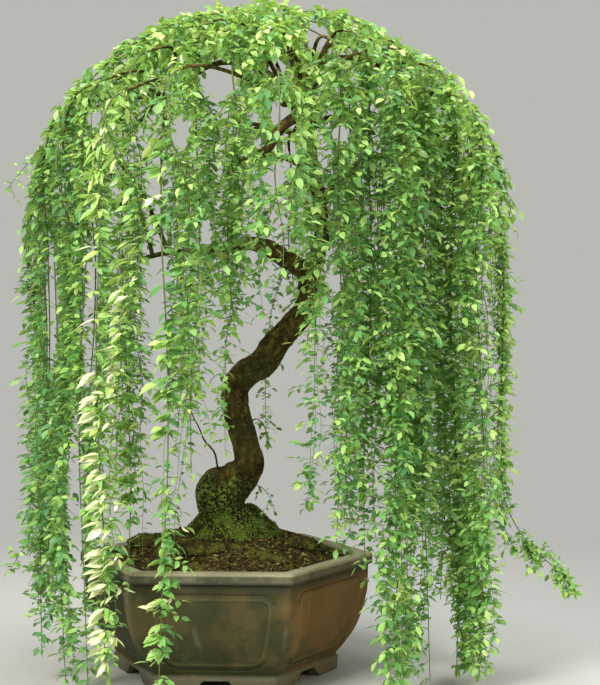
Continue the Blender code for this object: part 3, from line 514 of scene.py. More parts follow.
def clay_finish():
    """Old unglazed clay: olive brown, warmer to one side, pale on the lip, streaked with lime and algae, with a
    painted highlight along the rim's top and painted shade under the lip, at the lip's foot and in the grooves.
    """
    f = Finish("weathered_clay")
    height, side = f.axis(2), f.axis(0)
    cloud, speck, streak = f.grain(22, 4), f.grain(420, 2), f.grain(55, 3, f.stretched(1.0, 1.0, 0.10))
    body = f.mix(f.ease(cloud, 0.42, 0.58), CLAY["olive"], CLAY["brown"])
    warm = f.ease(side + cloud * 0.05, 0.008, 0.045) * 0.75
    body = f.mix(warm, body, CLAY["red"])
    damp = f.ease(0.075 - height, 0.0, 0.05)
    body = f.mix(f.ease(f.grain(34, 3), 0.50, 0.64) * damp * 0.60, body, CLAY["algae"])
    splashed = f.ease(height, 0.015, 0.06)
    body = f.mix(f.ease(streak, 0.58, 0.74) * splashed * 0.30, body, CLAY["lime"])
    body = f.over(body, CLAY["dry foot"], 0.5, 0.0165 - height, 0.0, 0.004)
    # painted shade: a dark band on the wall under the lip's overhang
    body = f.over(body, CLAY["under the lip"], 0.85, height, LIP_FOOT - 0.0130, LIP_FOOT - 0.0010)
    lip = f.mix(f.ease(f.grain(70, 4), 0.36, 0.66), CLAY["dull lip"], CLAY["clean lip"])
    lip = f.mix(warm * 0.5, lip, CLAY["red lip"])
    # painted highlight along the rim's rounded top edge, brighter on the right face
    edge = f.mix(f.ease(side, 0.070, 0.080), CLAY["front edge"], CLAY["right edge"])
    lip = f.over(lip, edge, 0.90, height, RIM_TOP - 0.0038, RIM_TOP - 0.0016)
    # painted shade on the lowest band of the lip
    lip = f.over(lip, CLAY["lip's foot"], 0.75, LIP_FOOT + 0.0040 - height, 0.0, 0.0030)
    body = f.mix(f.ease(height, LIP_FOOT - 0.0010, LIP_FOOT + 0.0012), body, lip)
    # pale wear on the rim's edge and the bead, and painted shade in the grooves where the measure is negative
    worn = f.kept("worn", "Fac")
    body = f.over(body, CLAY["worn"], 0.45, worn, 0.0, 1.0)
    # painted shade in the moulding's grooves
    body = f.over(body, CLAY["grimy"], 0.70, 0.0 - worn, 0.0, 1.0)
    body = f.over(body, CLAY["speck"], 0.45, speck, 0.60, 0.72)
    f.bump(speck * 0.5 + cloud * 0.8 + f.grain(150, 3), 0.0007, 0.8)
    return f.wear(Base_Color=body, Roughness=f.ease(cloud, 0.2, 0.9) * 0.18 + 0.72, Specular_IOR_Level=0.25)


def soil_finish():
    """Crumbly earth, grown green in patches."""
    f = Finish("damp_soil")
    fine = f.grain(700, 3)
    body = f.ramp(f.grain(260, 4), *EARTH)
    body = f.over(body, f.mix(fine, *EARTH_GREEN), 0.75, f.grain(30, 3), 0.50, 0.66)
    f.bump(f.cells(330) + fine * 0.6, 0.0010, 0.9)
    return f.wear(Base_Color=body, Roughness=0.95, Specular_IOR_Level=0.2)


def crumb_finish():
    """Clay grains, bark crumbs and dry straw on the soil."""
    f = Finish("litter")
    body = f.over(f.ramp(f.kept("tone", "Fac"), *CRUMB), CRUMB_STAIN, 0.4, f.grain(600, 3), 0.45, 0.7)
    f.bump(f.grain(900, 3), 0.0005, 0.7)
    return f.wear(Base_Color=body, Roughness=0.92, Specular_IOR_Level=0.2)


def moss_finish():
    """Thick moss with pale tips, and bare places."""
    f = Finish("moss")
    fine = f.grain(520, 2)
    body = f.mix(f.ease(f.grain(55, 3), 0.42, 0.60), MOSS["deep"], MOSS["green"])
    body = f.over(body, MOSS["tips"], 0.70, fine, 0.46, 0.64)
    body = f.over(body, MOSS["bare"], 0.85, f.grain(44, 3), 0.52, 0.62)
    body = f.over(body, MOSS["fresh"], 0.55, f.grain(110, 2), 0.57, 0.68)
    f.bump(fine + f.cells(640), 0.0012, 1.0)
    return f.wear(Base_Color=body, Roughness=0.95, Specular_IOR_Level=0.15)


def cushion_finish():
    """Thin moss grown through with soil and dry blades."""
    f = Finish("mound_moss")
    fine = f.grain(420, 3)
    body = f.mix(f.ease(f.grain(90, 3), 0.42, 0.62), CUSHION["soil"], CUSHION["green"])
    body = f.over(body, CUSHION["dry"], 0.7, fine, 0.50, 0.66)
    body = f.over(body, CUSHION["holes"], 0.6, f.grain(210, 2), 0.58, 0.70)
    f.bump(fine + f.cells(500), 0.0013, 1.0)
    return f.wear(Base_Color=body, Roughness=0.95, Specular_IOR_Level=0.15)


def bark_finish():
    """Dark fissured bark with paler flakes, and moss and algae about the root crown."""
    f = Finish("old_bark")
    flakes, scales = f.cells(120, f.stretched(1.0, 1.0, 0.55)), f.cells(185, f.stretched(1.0, 1.0, 0.6))
    cloud, fine = f.grain(60, 4), f.grain(360, 4)
    body = f.mix(f.ease(cloud, 0.38, 0.62), BARK["dark"], BARK["brown"])
    body = f.over(body, BARK["dust"], 0.60, fine, 0.52, 0.68)
    body = f.over(body, BARK["under scales"], 0.45, scales, 0.34, 0.58)
    body = f.over(body, BARK["scales"], 0.30, 0.22 - scales, 0.0, 0.12)
    body = f.mix(f.kept("crack", "Fac") * 0.85, body, BARK["crack"])
    body = f.over(body, BARK["algae"], 0.28, f.grain(26, 3), 0.50, 0.62)
    left = f.ease(MIDDLE_X - f.axis(0) + f.grain(40, 3) * 0.03, -0.008, 0.014)
    low = f.ease(0.196 - f.axis(2) + f.grain(75, 3) * 0.05, 0.018, 0.038)
    moss = f.mix(f.ease(fine, 0.42, 0.62), BARK["moss"], BARK["moss tips"])
    moss = f.over(moss, BARK["moss holes"], 0.6, f.grain(90, 2), 0.46, 0.60)
    body = f.mix(low * (left * 0.75 + 0.25), body, moss)
    f.bump(flakes * 0.5 + fine + cloud - scales * 0.9, 0.0018, 0.9)
    return f.wear(Base_Color=body, Roughness=0.88, Specular_IOR_Level=0.15)


def twig_finish():
    """Young bark, greener towards the thin stems."""
    f = Finish("young_bark")
    body = f.mix(f.axis(0, f.kept("blade")), TWIG["brown"], TWIG["green"])
    body = f.over(body, TWIG["dark"], 0.3, f.grain(300, 3), 0.45, 0.65)
    f.bump(f.grain(500, 3), 0.0004, 0.6)
    return f.wear(Base_Color=body, Roughness=0.75)


def leaf_finish():
    """Thin leaves: each has its own green, a paler rib and edge and a slightly see-through blade."""
    f = Finish("leaf_green", 0.5)
    blade = f.kept("blade")
    along, across, warmth = f.axis(0, blade), abs(f.axis(1, blade)), f.axis(2, blade)
    height = f.axis(2)
    # painted highlight: leaves are painted warmer and paler towards the top of the crown, where the light from
    # above falls
    tone = warmth + (f.grain(26, 2) - 0.5) * 0.60 + f.ease(height, 0.46, 0.66) * 0.10 - 0.03
    body = f.ramp(tone, *LEAF)
    cool = f.ease(f.grain(19, 2, f.stretched(1.0, 1.0, 0.6)), 0.48, 0.62) * f.ease(0.60 - tone, 0.0, 0.2)
    body = f.mix(cool * (0.85 - f.ease(height, 0.10, 0.55) * 0.35), body, BLADE["cool"])
    body = f.over(body, BLADE["olive"], 0.45, f.grain(33, 2), 0.57, 0.68)
    rib = f.ease(0.16 - across, 0.0, 0.12) * f.ease(0.95 - along, 0.0, 0.2) * 0.30
    body = f.mix(rib, body, BLADE["rib"])
    body = f.mix(f.ease(across, 0.55, 1.0) * f.ease(warmth, 0.30, 0.80) * 0.50, body, BLADE["edge"])
    f.bump(f.grain(800, 2) + rib * 1.5, 0.0003, 0.5)
    f.wear(Base_Color=body, Roughness=f.ease(f.grain(120, 2), 0.3, 0.7) * 0.2 + 0.36)
    glow = f.node("BsdfTranslucent", {}, {"Color": BLADE["glow"]})
    f.finished(f.either(0.32, Wire(f, f.shader.outputs[0]), glow))
    return f.material


def net_finish():
    f = Finish("green_net", 0.5)
    return f.wear(Base_Color=f.mix(f.grain(300), *NET))


def wire_finish():
    f = Finish("dull_wire", 0.4)
    return f.wear(Base_Color=f.mix(f.grain(500), *WIRE), Metallic=1.0, Roughness=f.grain(300) * 0.4 + 0.2)


def grit_finish():
    f = Finish("coarse_grit")
    f.bump(f.cells(260), 0.0020, 1.0)
    return f.wear(Base_Color=f.ramp(f.grain(200, 4), *GRIT), Roughness=0.95)


# ---------------------------------------------------------------- meshes
def piece(name, verts, faces, finishes, nodes, face_slots=None, smooth=True):
    """A named piece of the bonsai, made about the pot's axis, that takes the place of CAD nodes."""
    mesh = bpy.data.meshes.new(name)
    mesh.from_pydata([tuple(v) for v in np.asarray(verts) + MIDDLE], [], faces)
    for finish in finishes:
        mesh.materials.append(finish)
    if face_slots is not None:
        mesh.polygons.foreach_set("material_index", face_slots)
    mesh.polygons.foreach_set("use_smooth", [smooth] * len(mesh.polygons))
    mesh.update()
    made = bpy.data.objects.new(name, mesh)
    bpy.context.scene.collection.objects.link(made)
    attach(made, "root")
    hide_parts(*nodes)
    return made


def carry(made, name, values, kind="FLOAT"):
    """Writes a measure for each vertex of a piece."""
    layer = made.data.attributes.new(name, kind, "POINT")
    field = "vector" if kind == "FLOAT_VECTOR" else "value"
    layer.data.foreach_set(field, np.asarray(values, np.float32).ravel())


def uneven(p, scale, seed=0.0):
    """Noise from -1 to 1 at a place."""
    return noise.noise(Vector(p) * scale + Vector((seed, seed * 1.7, -seed)))


def waved(p, waves, start=0.0):
    """A start value with waves of (height, scale, seed) added at a place."""
    for high, scale, seed in waves:
        start += high * uneven(p, scale, seed)
    return start


def unit(v):
    v = np.asarray(v, float)
    return v / np.maximum(np.linalg.norm(v, axis=-1, keepdims=True), 1e-9)


def add_shape(verts, faces, more, more_faces):
    """Adds a shape to the vertices and faces gathered so far."""
    first = len(verts)
    verts.extend(map(tuple, more))
    faces.extend(tuple(first + i for i in face) for face in more_faces)


def band(a, b, count):
    """The faces between two closed rows of points that start at a and b."""
    return [(a + s, b + s, b + (s + 1) % count, a + (s + 1) % count) for s in range(count)]


def capped(rows, count):
    """The faces of a closed skin: a top point, rows of points round it, and a bottom point."""
    faces = [(0, 1 + s, 1 + (s + 1) % count) for s in range(count)]
    for k in range(rows - 1):
        faces += band(1 + k * count, 1 + (k + 1) * count, count)
    low = 1 + (rows - 1) * count
    return faces + [(low + (s + 1) % count, low + s, low + count) for s in range(count)]


def quarter(steps):
    """The (cosine, sine) pairs of a quarter turn in equal steps."""
    turns = [math.pi / 2 * k / steps for k in range(steps + 1)]
    return [(math.cos(turn), math.sin(turn)) for turn in turns]


def smooth_line(points, step):
    """Points about a step apart along a smooth curve through these (x, y, z, ...) points."""
    p = np.asarray(points, float)
    lengths = np.linalg.norm(np.diff(p[:, :3], axis=0), axis=1)
    at = np.concatenate([[0.0], np.cumsum(lengths)])
    slope = np.gradient(p, at, axis=0)
    count = max(3, int(at[-1] / step) + 1)
    t = np.linspace(0.0, at[-1], count)
    k = np.clip(np.searchsorted(at, t, side="right") - 1, 0, len(p) - 2)
    span = (at[k + 1] - at[k])[:, None]
    u = (t[:, None] - at[k][:, None]) / span
    a, b, da, db = p[k], p[k + 1], slope[k] * span, slope[k + 1] * span
    return (a * (1 + 2 * u) * (1 - u) ** 2 + da * u * (1 - u) ** 2
            + b * u * u * (3 - 2 * u) + db * u * u * (u - 1))


def turned_frames(line):
    """For each point of a line: its direction, and two directions square to it that don't twist."""
    ahead = unit(np.gradient(line, axis=0))
    side = np.cross(ahead[0], ASKEW)
    sides = []
    for way in ahead:
        side = side - way * side.dot(way)
        side = side / max(np.linalg.norm(side), 1e-9)
        sides.append(side)
    sides = np.array(sides)
    return ahead, sides, np.cross(ahead, sides)


def tube(line, radii, sides):
    """Vertices, faces and a (round, along) place for each vertex of a tube with pointed ends."""
    ahead, a, b = turned_frames(line)
    turn = np.arange(sides) * 2 * math.pi / sides
    ring = np.cos(turn)[None, :, None] * a[:, None] + np.sin(turn)[None, :, None] * b[:, None]
    body = line[:, None] + ring * np.asarray(radii)[:, None, None]
    count = len(line)
    ends = [line[0] - ahead[0] * radii[0] * 0.6, line[-1] + ahead[-1] * radii[-1] * 0.6]
    verts = np.concatenate([body.reshape(-1, 3), ends])
    faces = []
    for k in range(count - 1):
        low, high = k * sides, (k + 1) * sides
        faces += [(low + s, low + (s + 1) % sides, high + (s + 1) % sides, high + s) for s in range(sides)]
    first, last, top = count * sides, count * sides + 1, (count - 1) * sides
    for s in range(sides):
        n = (s + 1) % sides
        faces += [(n, s, first), (top + s, top + n, last)]
    around = np.tile(1 - np.abs(turn / math.pi - 1), count)
    along = np.repeat(np.linspace(0, 1, count), sides)
    place = np.concatenate([np.stack([around, along], 1), [[0.5, 0.0], [0.5, 1.0]]])
    return verts, faces, place


# ---------------------------------------------------------------- the pot
def hexagon(reach, corner):
    """Outline of a hexagon with round corners: places, outward ways, and how far each is from a corner."""
    flat, half = reach * math.cos(math.pi / 6), reach / 2
    trim = corner * math.tan(math.pi / 6)
    edge = half - trim - np.array(COLUMN_STEPS) * min(1.0, (half - trim) / COLUMN_SPAN)
    inner = np.linspace(edge[-1], -edge[-1], MID_COLUMNS + 2)[1:-1]
    run = np.concatenate([-edge, -inner, edge[::-1]])
    places, ways, off = [], [], []
    for k in range(6):
        facing = math.radians(60 * k + 30) + POT_TURN
        out = np.array([math.cos(facing), math.sin(facing)])
        along = np.array([-out[1], out[0]])
        for s in run:
            places.append(out * flat + along * s)
            ways.append(out)
            off.append(half - abs(s))
        heart = facing + math.pi / 6
        centre = np.array([math.cos(heart), math.sin(heart)]) * (flat - corner) / math.cos(math.pi / 6)
        for j in range(1, CORNER_COLUMNS + 1):
            turn = facing + math.pi / 3 * j / (CORNER_COLUMNS + 1)
            way = np.array([math.cos(turn), math.sin(turn)])
            places.append(centre + way * corner)
            ways.append(way)
            off.append(trim)
    return np.array(places), np.array(ways), np.array(off)


def panel_relief(off, height):
    """How far the moulding of one face stands out: a bead round a plain panel, and a groove outside it."""
    x = PANEL_MARGIN - off + PANEL_ROUND
    z = np.maximum(PANEL_FOOT - height, height - PANEL_TOP) + PANEL_ROUND
    away = np.hypot(np.maximum(x, 0), np.maximum(z, 0)) + np.minimum(np.maximum(x, z), 0) - PANEL_ROUND
    bead = BEAD_HIGH * np.exp(-(away / BEAD_WIDE) ** 2)
    groove = -GROOVE_DEEP * np.exp(-((away - GROOVE_OUT) / GROOVE_WIDE) ** 2)
    panel = -PANEL_SUNK / (1 + np.exp(away / PANEL_EDGE))
    return bead + groove + panel


def arch_edge(off, half):
    """How high the foot ring's lower edge stands at a point of a side."""
    middle = np.abs(half - off)
    inside = np.clip((ARCH_HALF - middle) / ARCH_ROUND, 0.0, 1.0)
    return ARCH_TOP * np.sqrt(1 - (1 - inside) ** 2) * (middle < ARCH_HALF)


def pot_rows():
    """The pot's section from the drain up the inside, over the lip, down the wall and under the foot:
    (reach, height, corner round, part of the pot)."""
    rows = [(DRAIN, FLOOR_TOP, None, "drain")]

    def add(part, corner, *points):
        rows.extend((reach, height, corner, part) for reach, height in points)

    inner = [(r - WALL, z + WALL * 0.35) for r, z in WALL_ROWS[2:-1]][::-1]
    add("in", CORNER_IN, (FLOOR_HALF, FLOOR_TOP), (0.095, FLOOR_TOP), *inner)
    add("in", CORNER_IN, (0.1352, 0.1000), (LIP_INSIDE, 0.1105))
    add("lip", CORNER_IN, *((LIP_INSIDE + LIP_ROUND_IN * (1 - c), RIM_TOP - LIP_ROUND_IN * (1 - s))
                            for c, s in quarter(4)))
    add("lip", CORNER_OUT, (0.1395, RIM_TOP), (0.1435, RIM_TOP))
    add("lip", CORNER_OUT, *((RIM_REACH - LIP_ROUND_OUT * (1 - s), RIM_TOP - LIP_ROUND_OUT * (1 - c))
                             for c, s in quarter(5)))
    add("lip", CORNER_OUT, (RIM_REACH, 0.1130), (RIM_REACH, 0.1100))
    add("lip", CORNER_OUT, *((RIM_REACH - LIP_ROUND_UNDER * (1 - c), LIP_FOOT + LIP_ROUND_UNDER * (1 - s))
                             for c, s in quarter(4)))
    wall = smooth_line([(r, 0.0, z) for r, z in WALL_ROWS], WALL_STEP)
    add("wall", CORNER_OUT, *((r, z) for r, _, z in wall))
    add("plinth", CORNER_OUT, (PLINTH_REACH - 0.0012, PLINTH_TOP + 0.0014),
        (PLINTH_REACH - 0.0004, PLINTH_TOP + 0.0009), (PLINTH_REACH, PLINTH_TOP),
        (PLINTH_REACH - 0.0004, 0.011))
    add("foot", CORNER_OUT, (PLINTH_REACH - 0.0009, 0.0012), (PLINTH_REACH - 0.0022, 0.0))
    add("foot", CORNER_IN, (FOOT_INSIDE + 0.002, 0.0), (FOOT_INSIDE, 0.0015))
    add("in", CORNER_IN, (FOOT_INSIDE, ARCH_TOP - 0.0001), (0.06, ARCH_TOP))
    add("drain", None, (DRAIN, ARCH_TOP))
    return rows


def pot():
    """The pot in one skin, with its moulding, small chips in the lip, the worn places and painted shade in the
    grooves.
    """
    rows = pot_rows()
    verts, worn = [], []
    for reach, height, corner, part in rows:
        places, ways, off = hexagon(reach, corner) if corner else hexagon(FLOOR_HALF, CORNER_IN)
        if corner is None:            # the drain is round
            places = unit(places) * reach
            ways = unit(places)
        z = np.full(len(places), height)
        if part == "wall":
            places = places + ways * panel_relief(off, height)[:, None]
        if part in ("foot", "plinth"):
            lift = arch_edge(off, reach / 2)
            z = np.maximum(z, lift) if part == "plinth" else np.maximum(z, lift + height * (lift > 0))
        for (x, y), (wx, wy), h, o in zip(places, ways, z, off):
            spot = (x, y, h)
            rough = 0.0 if part in ("in", "drain") else waved(spot, CLAY_WAVES)
            chip = max(0.0, uneven(spot, 60, 7) - CHIP_FROM) * CHIP_DEEP if part == "lip" else 0.0
            verts.append((x + wx * (rough - chip), y + wy * (rough - chip), h - chip * 0.4))
            edge = part == "lip" and abs(reach - RIM_REACH) < EDGE_BAND and h > RIM_TOP - LIP_ROUND_OUT
            relief = panel_relief(o, h) if part == "wall" else 0.0
            # the rim's edge and the bead are worn pale, and the grooves get painted shade
            worn.append(0.9 * float(edge)
                        + (0.35 if relief > RELIEF_SEEN else -0.9 if relief < -RELIEF_SEEN else 0.0))
    across = len(verts) // len(rows)
    faces = []
    for k in range(len(rows)):
        faces += band(k * across, (k + 1) % len(rows) * across, across)
    made = piece("clay_pot", verts, faces, [clay_finish()], ["pot"])
    carry(made, "worn", worn)
    made.data.set_sharp_from_angle(angle=math.radians(50))


# ---------------------------------------------------------------- soil and moss
def ground(x, y):
    """Height of the soil at a place, clods and all."""
    r = math.hypot(x, y)
    height = SOIL_EDGE
    for (r0, z0), (r1, z1) in zip(MOUND, MOUND[1:]):
        if r0 <= r < r1:
            height = z0 + (z1 - z0) * ((r - r0) / (r1 - r0))
    return waved((x, y, 0.0), SOIL_WAVES, height)


def soil():
    """The mound with its clods, and its side and underside inside the pot."""
    outer, low = hexagon(SOIL_REACH, CORNER_IN)[0], hexagon(SOIL_FOOT_REACH, CORNER_IN)[0]
    even = np.linspace(0, 2 * math.pi, SOIL_POINTS + 1)[:-1] + np.arctan2(outer[0, 1], outer[0, 0])

    def rim(points):
        reach = np.hypot(points[:, 0], points[:, 1])
        bearing = np.unwrap(np.arctan2(points[:, 1], points[:, 0]))
        r = np.interp(even, np.append(bearing, bearing[0] + 2 * math.pi), np.append(reach, reach[0]))
        return np.stack([np.cos(even) * r, np.sin(even) * r], 1)

    edge = rim(outer)
    verts = [(0.0, 0.0, ground(0.0, 0.0))]
    for k in range(1, SOIL_RINGS + 1):
        verts += [(x, y, ground(x, y)) for x, y in edge * (k / SOIL_RINGS)]
    verts += [(x, y, SOIL_FOOT) for x, y in rim(low)] + [(0.0, 0.0, SOIL_FOOT)]
    piece("soil_bed", verts, capped(SOIL_RINGS + 1, SOIL_POINTS), [soil_finish()], ["soil"])


def inside_pot(x, y, reach):
    for k in range(6):
        facing = math.radians(60 * k + 30) + POT_TURN
        if x * math.cos(facing) + y * math.sin(facing) > reach * math.cos(math.pi / 6):
            return False
    return True


def crumbs(rng, add):
    """Clay grains and bark crumbs: uneven eight-sided lumps."""
    shape = np.array([(1, 0, 0), (0, 1, 0), (-1, 0, 0), (0, -1, 0), (0, 0, 1), (0, 0, -1)], float)
    shape_faces = [(0, 1, 4), (1, 2, 4), (2, 3, 4), (3, 0, 4), (1, 0, 5), (2, 1, 5), (3, 2, 5), (0, 3, 5)]
    placed = 0
    while placed < CRUMBS:
        x, y = rng.uniform(-0.13, 0.13), rng.uniform(-0.118, 0.118)
        size = rng.uniform(0.0007, 0.0021) * (1.5 if rng.random() < 0.12 else 1.0)
        if not inside_pot(x, y, CRUMB_REACH) or math.hypot(x, y) < CRUMB_OFF_ROOT:
            continue
        squash = np.array([rng.uniform(0.7, 1.3), rng.uniform(0.7, 1.3), rng.uniform(0.5, 0.9)]) * size
        bumpy = 1 + 0.35 * np.array([rng.uniform(-1, 1) for _ in shape])[:, None]
        lying = shape * bumpy * squash + (x, y, ground(x, y) + size * 0.35)
        add(lying, shape_faces, rng.random() ** 1.3 * 0.95)
        placed += 1


def straws(rng, add):
    """Dry bent straws that lie on the soil."""
    for _ in range(STRAWS):
        x, y, way = rng.uniform(-0.12, 0.12), rng.uniform(-0.11, 0.11), rng.uniform(0, 2 * math.pi)
        length, bow = rng.uniform(0.006, 0.020), rng.uniform(-0.5, 0.5)
        line = []
        for k in range(5):
            s = (k / 4 - 0.5) * length
            line.append((x + math.cos(way) * s - math.sin(way) * bow * s * s / length,
                         y + math.sin(way) * s + math.cos(way) * bow * s * s / length))
        if all(inside_pot(px, py, STRAW_REACH) and math.hypot(px, py) > STRAW_OFF_ROOT for px, py in line):
            line = np.array([(px, py, ground(px, py) + 0.0005 + 0.0010 * rng.random()) for px, py in line])
            add(*tube(line, [STRAW_THICK] * 5, 4)[:2], rng.uniform(0.6, 1.0))


def litter():
    """Crumbs, clay grains and straws that lie on the soil."""
    rng = random.Random(11)
    verts, faces, tones = [], [], []

    def add(v, f, tone):
        add_shape(verts, faces, v, f)
        tones.extend([tone] * len(v))

    crumbs(rng, add)
    straws(rng, add)
    made = piece("soil_litter", verts, faces, [crumb_finish()], ["soil"], smooth=False)
    carry(made, "tone", tones)


def one_skin(verts, faces, voxel, soften):
    """The joint outer skin of closed shapes: vertices, faces and normals."""
    mesh = bpy.data.meshes.new("skin")
    mesh.from_pydata([tuple(v) for v in verts], [], faces)
    made = bpy.data.objects.new("skin", mesh)
    bpy.context.scene.collection.objects.link(made)
    skin = made.modifiers.new("skin", "REMESH")
    skin.mode, skin.voxel_size = "VOXEL", voxel
    ease = made.modifiers.new("ease", "SMOOTH")
    ease.iterations, ease.factor = soften, 0.5
    bpy.context.view_layer.update()
    done = made.evaluated_get(bpy.context.evaluated_depsgraph_get()).to_mesh()
    v, n = np.empty(len(done.vertices) * 3), np.empty(len(done.vertices) * 3)
    done.vertices.foreach_get("co", v)
    done.vertices.foreach_get("normal", n)
    f = [tuple(p.vertices) for p in done.polygons]
    bpy.data.objects.remove(made)
    return v.reshape(-1, 3), f, n.reshape(-1, 3)


def node_shape(name):
    """A CAD node's vertices about the pot's axis and its faces, welded."""
    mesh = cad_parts[name].data
    spots, index, verts = {}, [], []
    for v in mesh.vertices:
        key = tuple(round(c, 6) for c in v.co)
        if key not in spots:
            spots[key] = len(verts)
            verts.append(np.array(v.co) - MIDDLE)
        index.append(spots[key])
    faces = [tuple(dict.fromkeys(index[i] for i in p.vertices)) for p in mesh.polygons]
    return verts, [face for face in faces if len(face) > 2]


def sprigs(spots, ways, rng, tall):
    """Small moss shoots: slim three-sided cones."""
    verts, faces = [], []
    for spot, way in zip(spots, ways):
        lean = unit(way + np.array([rng.uniform(-0.5, 0.5), rng.uniform(-0.5, 0.5),
                                    0.35 + rng.uniform(-0.2, 0.4)]))
        side = unit(np.cross(lean, (0.3, 0.8, 0.5)))
        other = np.cross(lean, side)
        wide, height = rng.uniform(0.0004, 0.0007), tall * rng.uniform(0.6, 1.3)
        base = spot - way * 0.0003
        turns = [2 * math.pi * k / 3 for k in range(3)]
        cone = [base + (side * math.cos(turn) + other * math.sin(turn)) * wide for turn in turns]
        add_shape(verts, faces, cone + [base + lean * height], [(0, 1, 3), (1, 2, 3), (2, 0, 3)])
    return verts, faces


def moss_cushion(name, node, finish):
    """A moss cushion: lumpy skin over the CAD shape, with shoots."""
    rng = random.Random(len(name) * 7 + CUSHION_SPRIGS)
    verts, faces, normals = one_skin(*node_shape(node), CUSHION_VOXEL, 3)
    for k, (v, n) in enumerate(zip(verts, normals)):
        verts[k] = v + n * (waved(v, CUSHION_WAVES) - CUSHION_SINKS)
    up = [k for k in range(len(verts)) if normals[k][2] > 0.05]
    picks = [up[int(rng.random() * len(up))] for _ in range(CUSHION_SPRIGS)]
    more = sprigs(verts[picks], normals[picks], rng, SPRIG_TALL)
    verts = list(verts)
    add_shape(verts, faces, *more)
    piece(name, verts, faces, [finish], [node])


def skirt_height(x, y):
    """Height of the moss round the root crown, which runs out on the soil."""
    away = math.hypot((x - SKIRT_X) / SKIRT_WIDER, y - SKIRT_Y)
    lie = np.interp(away, [p[0] for p in SKIRT], [p[1] for p in SKIRT])
    lie -= SKIRT_LEFT_LOWER * max(0.0, (SKIRT_X - x) / 0.05)
    lie += waved((x, y, 0.0), SKIRT_WAVES)
    ease = min(1.0, (SKIRT[-1][0] - away) / SKIRT_EDGE)
    return lie * ease + (ground(x, y) - SKIRT_UNDER) * (1 - ease) if ease < 1 else lie


def moss_skirt(finish):
    """The moss that runs from the root crown down on to the mound."""
    rng = random.Random(3)
    verts, faces = [], []
    inner, outer = SKIRT[0][0], SKIRT[-1][0]
    for k in range(SKIRT_RINGS + 1):
        for j in range(SKIRT_POINTS):
            turn = 2 * math.pi * j / SKIRT_POINTS
            wavy = 1 + 0.09 * math.sin(turn * 3 + 1) + 0.05 * math.sin(turn * 7)
            reach = inner + (outer * wavy * 0.93 - inner) * k / SKIRT_RINGS
            x, y = SKIRT_X + SKIRT_WIDER * reach * math.cos(turn), SKIRT_Y + reach * math.sin(turn)
            verts.append((x, y, skirt_height(x, y)))
    top = len(verts)
    for k in (SKIRT_RINGS, 0):
        for x, y, z in verts[k * SKIRT_POINTS:(k + 1) * SKIRT_POINTS]:
            verts.append((x, y, min(z, ground(x, y)) - SKIRT_THICK))
    rows = len(verts) // SKIRT_POINTS
    for k in range(rows):
        faces += band(k * SKIRT_POINTS, (k + 1) % rows * SKIRT_POINTS, SKIRT_POINTS)
    spots = [np.array(verts[int(rng.random() * top)]) for _ in range(SKIRT_SPRIGS)]
    add_shape(verts, faces, *sprigs(spots, [np.array([0.0, 0.0, 1.0])] * len(spots), rng, SKIRT_SPRIG_TALL))
    piece("moss_round_root", verts, faces, [finish], ["moss_collar"])


# ---------------------------------------------------------------- the wood
def ellipsoid(centre, radii, rings=16):
    verts = [(centre[0], centre[1], centre[2] + radii[2])]
    for k in range(1, rings):
        tilt = math.pi * k / rings
        for s in range(rings * 2):
            turn = math.pi * s / rings
            verts.append((centre[0] + radii[0] * math.sin(tilt) * math.cos(turn),
                          centre[1] + radii[1] * math.sin(tilt) * math.sin(turn),
                          centre[2] + radii[2] * math.cos(tilt)))
    verts.append((centre[0], centre[1], centre[2] - radii[2]))
    return verts, capped(rings - 1, rings * 2)


def old_wood(finish):
    """Root crown, trunk and limbs in one skin, with bark ridges."""
    verts, faces, tree = [], [], []

    def limb(run, sides):
        line = smooth_line(run, WOOD_STEP)
        add_shape(verts, faces, *tube(line[:, :3], line[:, 3], sides)[:2])
        tree.extend(tuple(p) for p in line)

    for centre, radii in ROOT_LUMPS:
        add_shape(verts, faces, *ellipsoid(centre, radii))
    for bearing, reach in ROOTS:
        way = np.array([math.cos(math.radians(bearing)), math.sin(math.radians(bearing)), 0.0])
        limb([(*(way * reach * share)[:2], height, radius) for share, height, radius in ROOT_RUN], 10)
    for run in (TRUNK, *LIMBS.values()):
        limb(run, 16)
    tree += [(*centre, min(radii)) for centre, radii in ROOT_LUMPS]
    near = kdtree.KDTree(len(tree))
    for k, p in enumerate(tree):
        near.insert(p[:3], k)
    near.balance()
    verts, faces, normals = one_skin(verts, faces, WOOD_VOXEL, 2)
    cracks = []
    for k, (v, n) in enumerate(zip(verts, normals)):
        girth = min(1.0, tree[near.find(v)[1]][3] / FULL_GIRTH)
        ridge = 1 - abs(uneven((v[0], v[1], v[2] * 0.45), 130)) * 2.4
        knob, fine = uneven(v, 55, 6), uneven(v, 330, 2)
        verts[k] = v + n * girth * (BARK_RIDGE * ridge + BARK_KNOB * knob + BARK_FINE * fine - BARK_SINKS)
        cracks.append(max(0.0, min(1.0, 0.35 - ridge)) * girth)
    made = piece("old_wood", verts, faces, [finish], ["trunk"])
    carry(made, "crack", cracks)


def wood_points():
    """Points along the trunk and limbs from which twigs may leave, as (place, radius)."""
    found = []
    for line in (TRUNK[TWIG_FROM:], *LIMBS.values()):
        for a, b in zip(line, line[1:]):
            for k in range(3):
                p = np.array(a) + (np.array(b) - np.array(a)) * k / 3
                found.append((p[:3], p[3]))
    return found


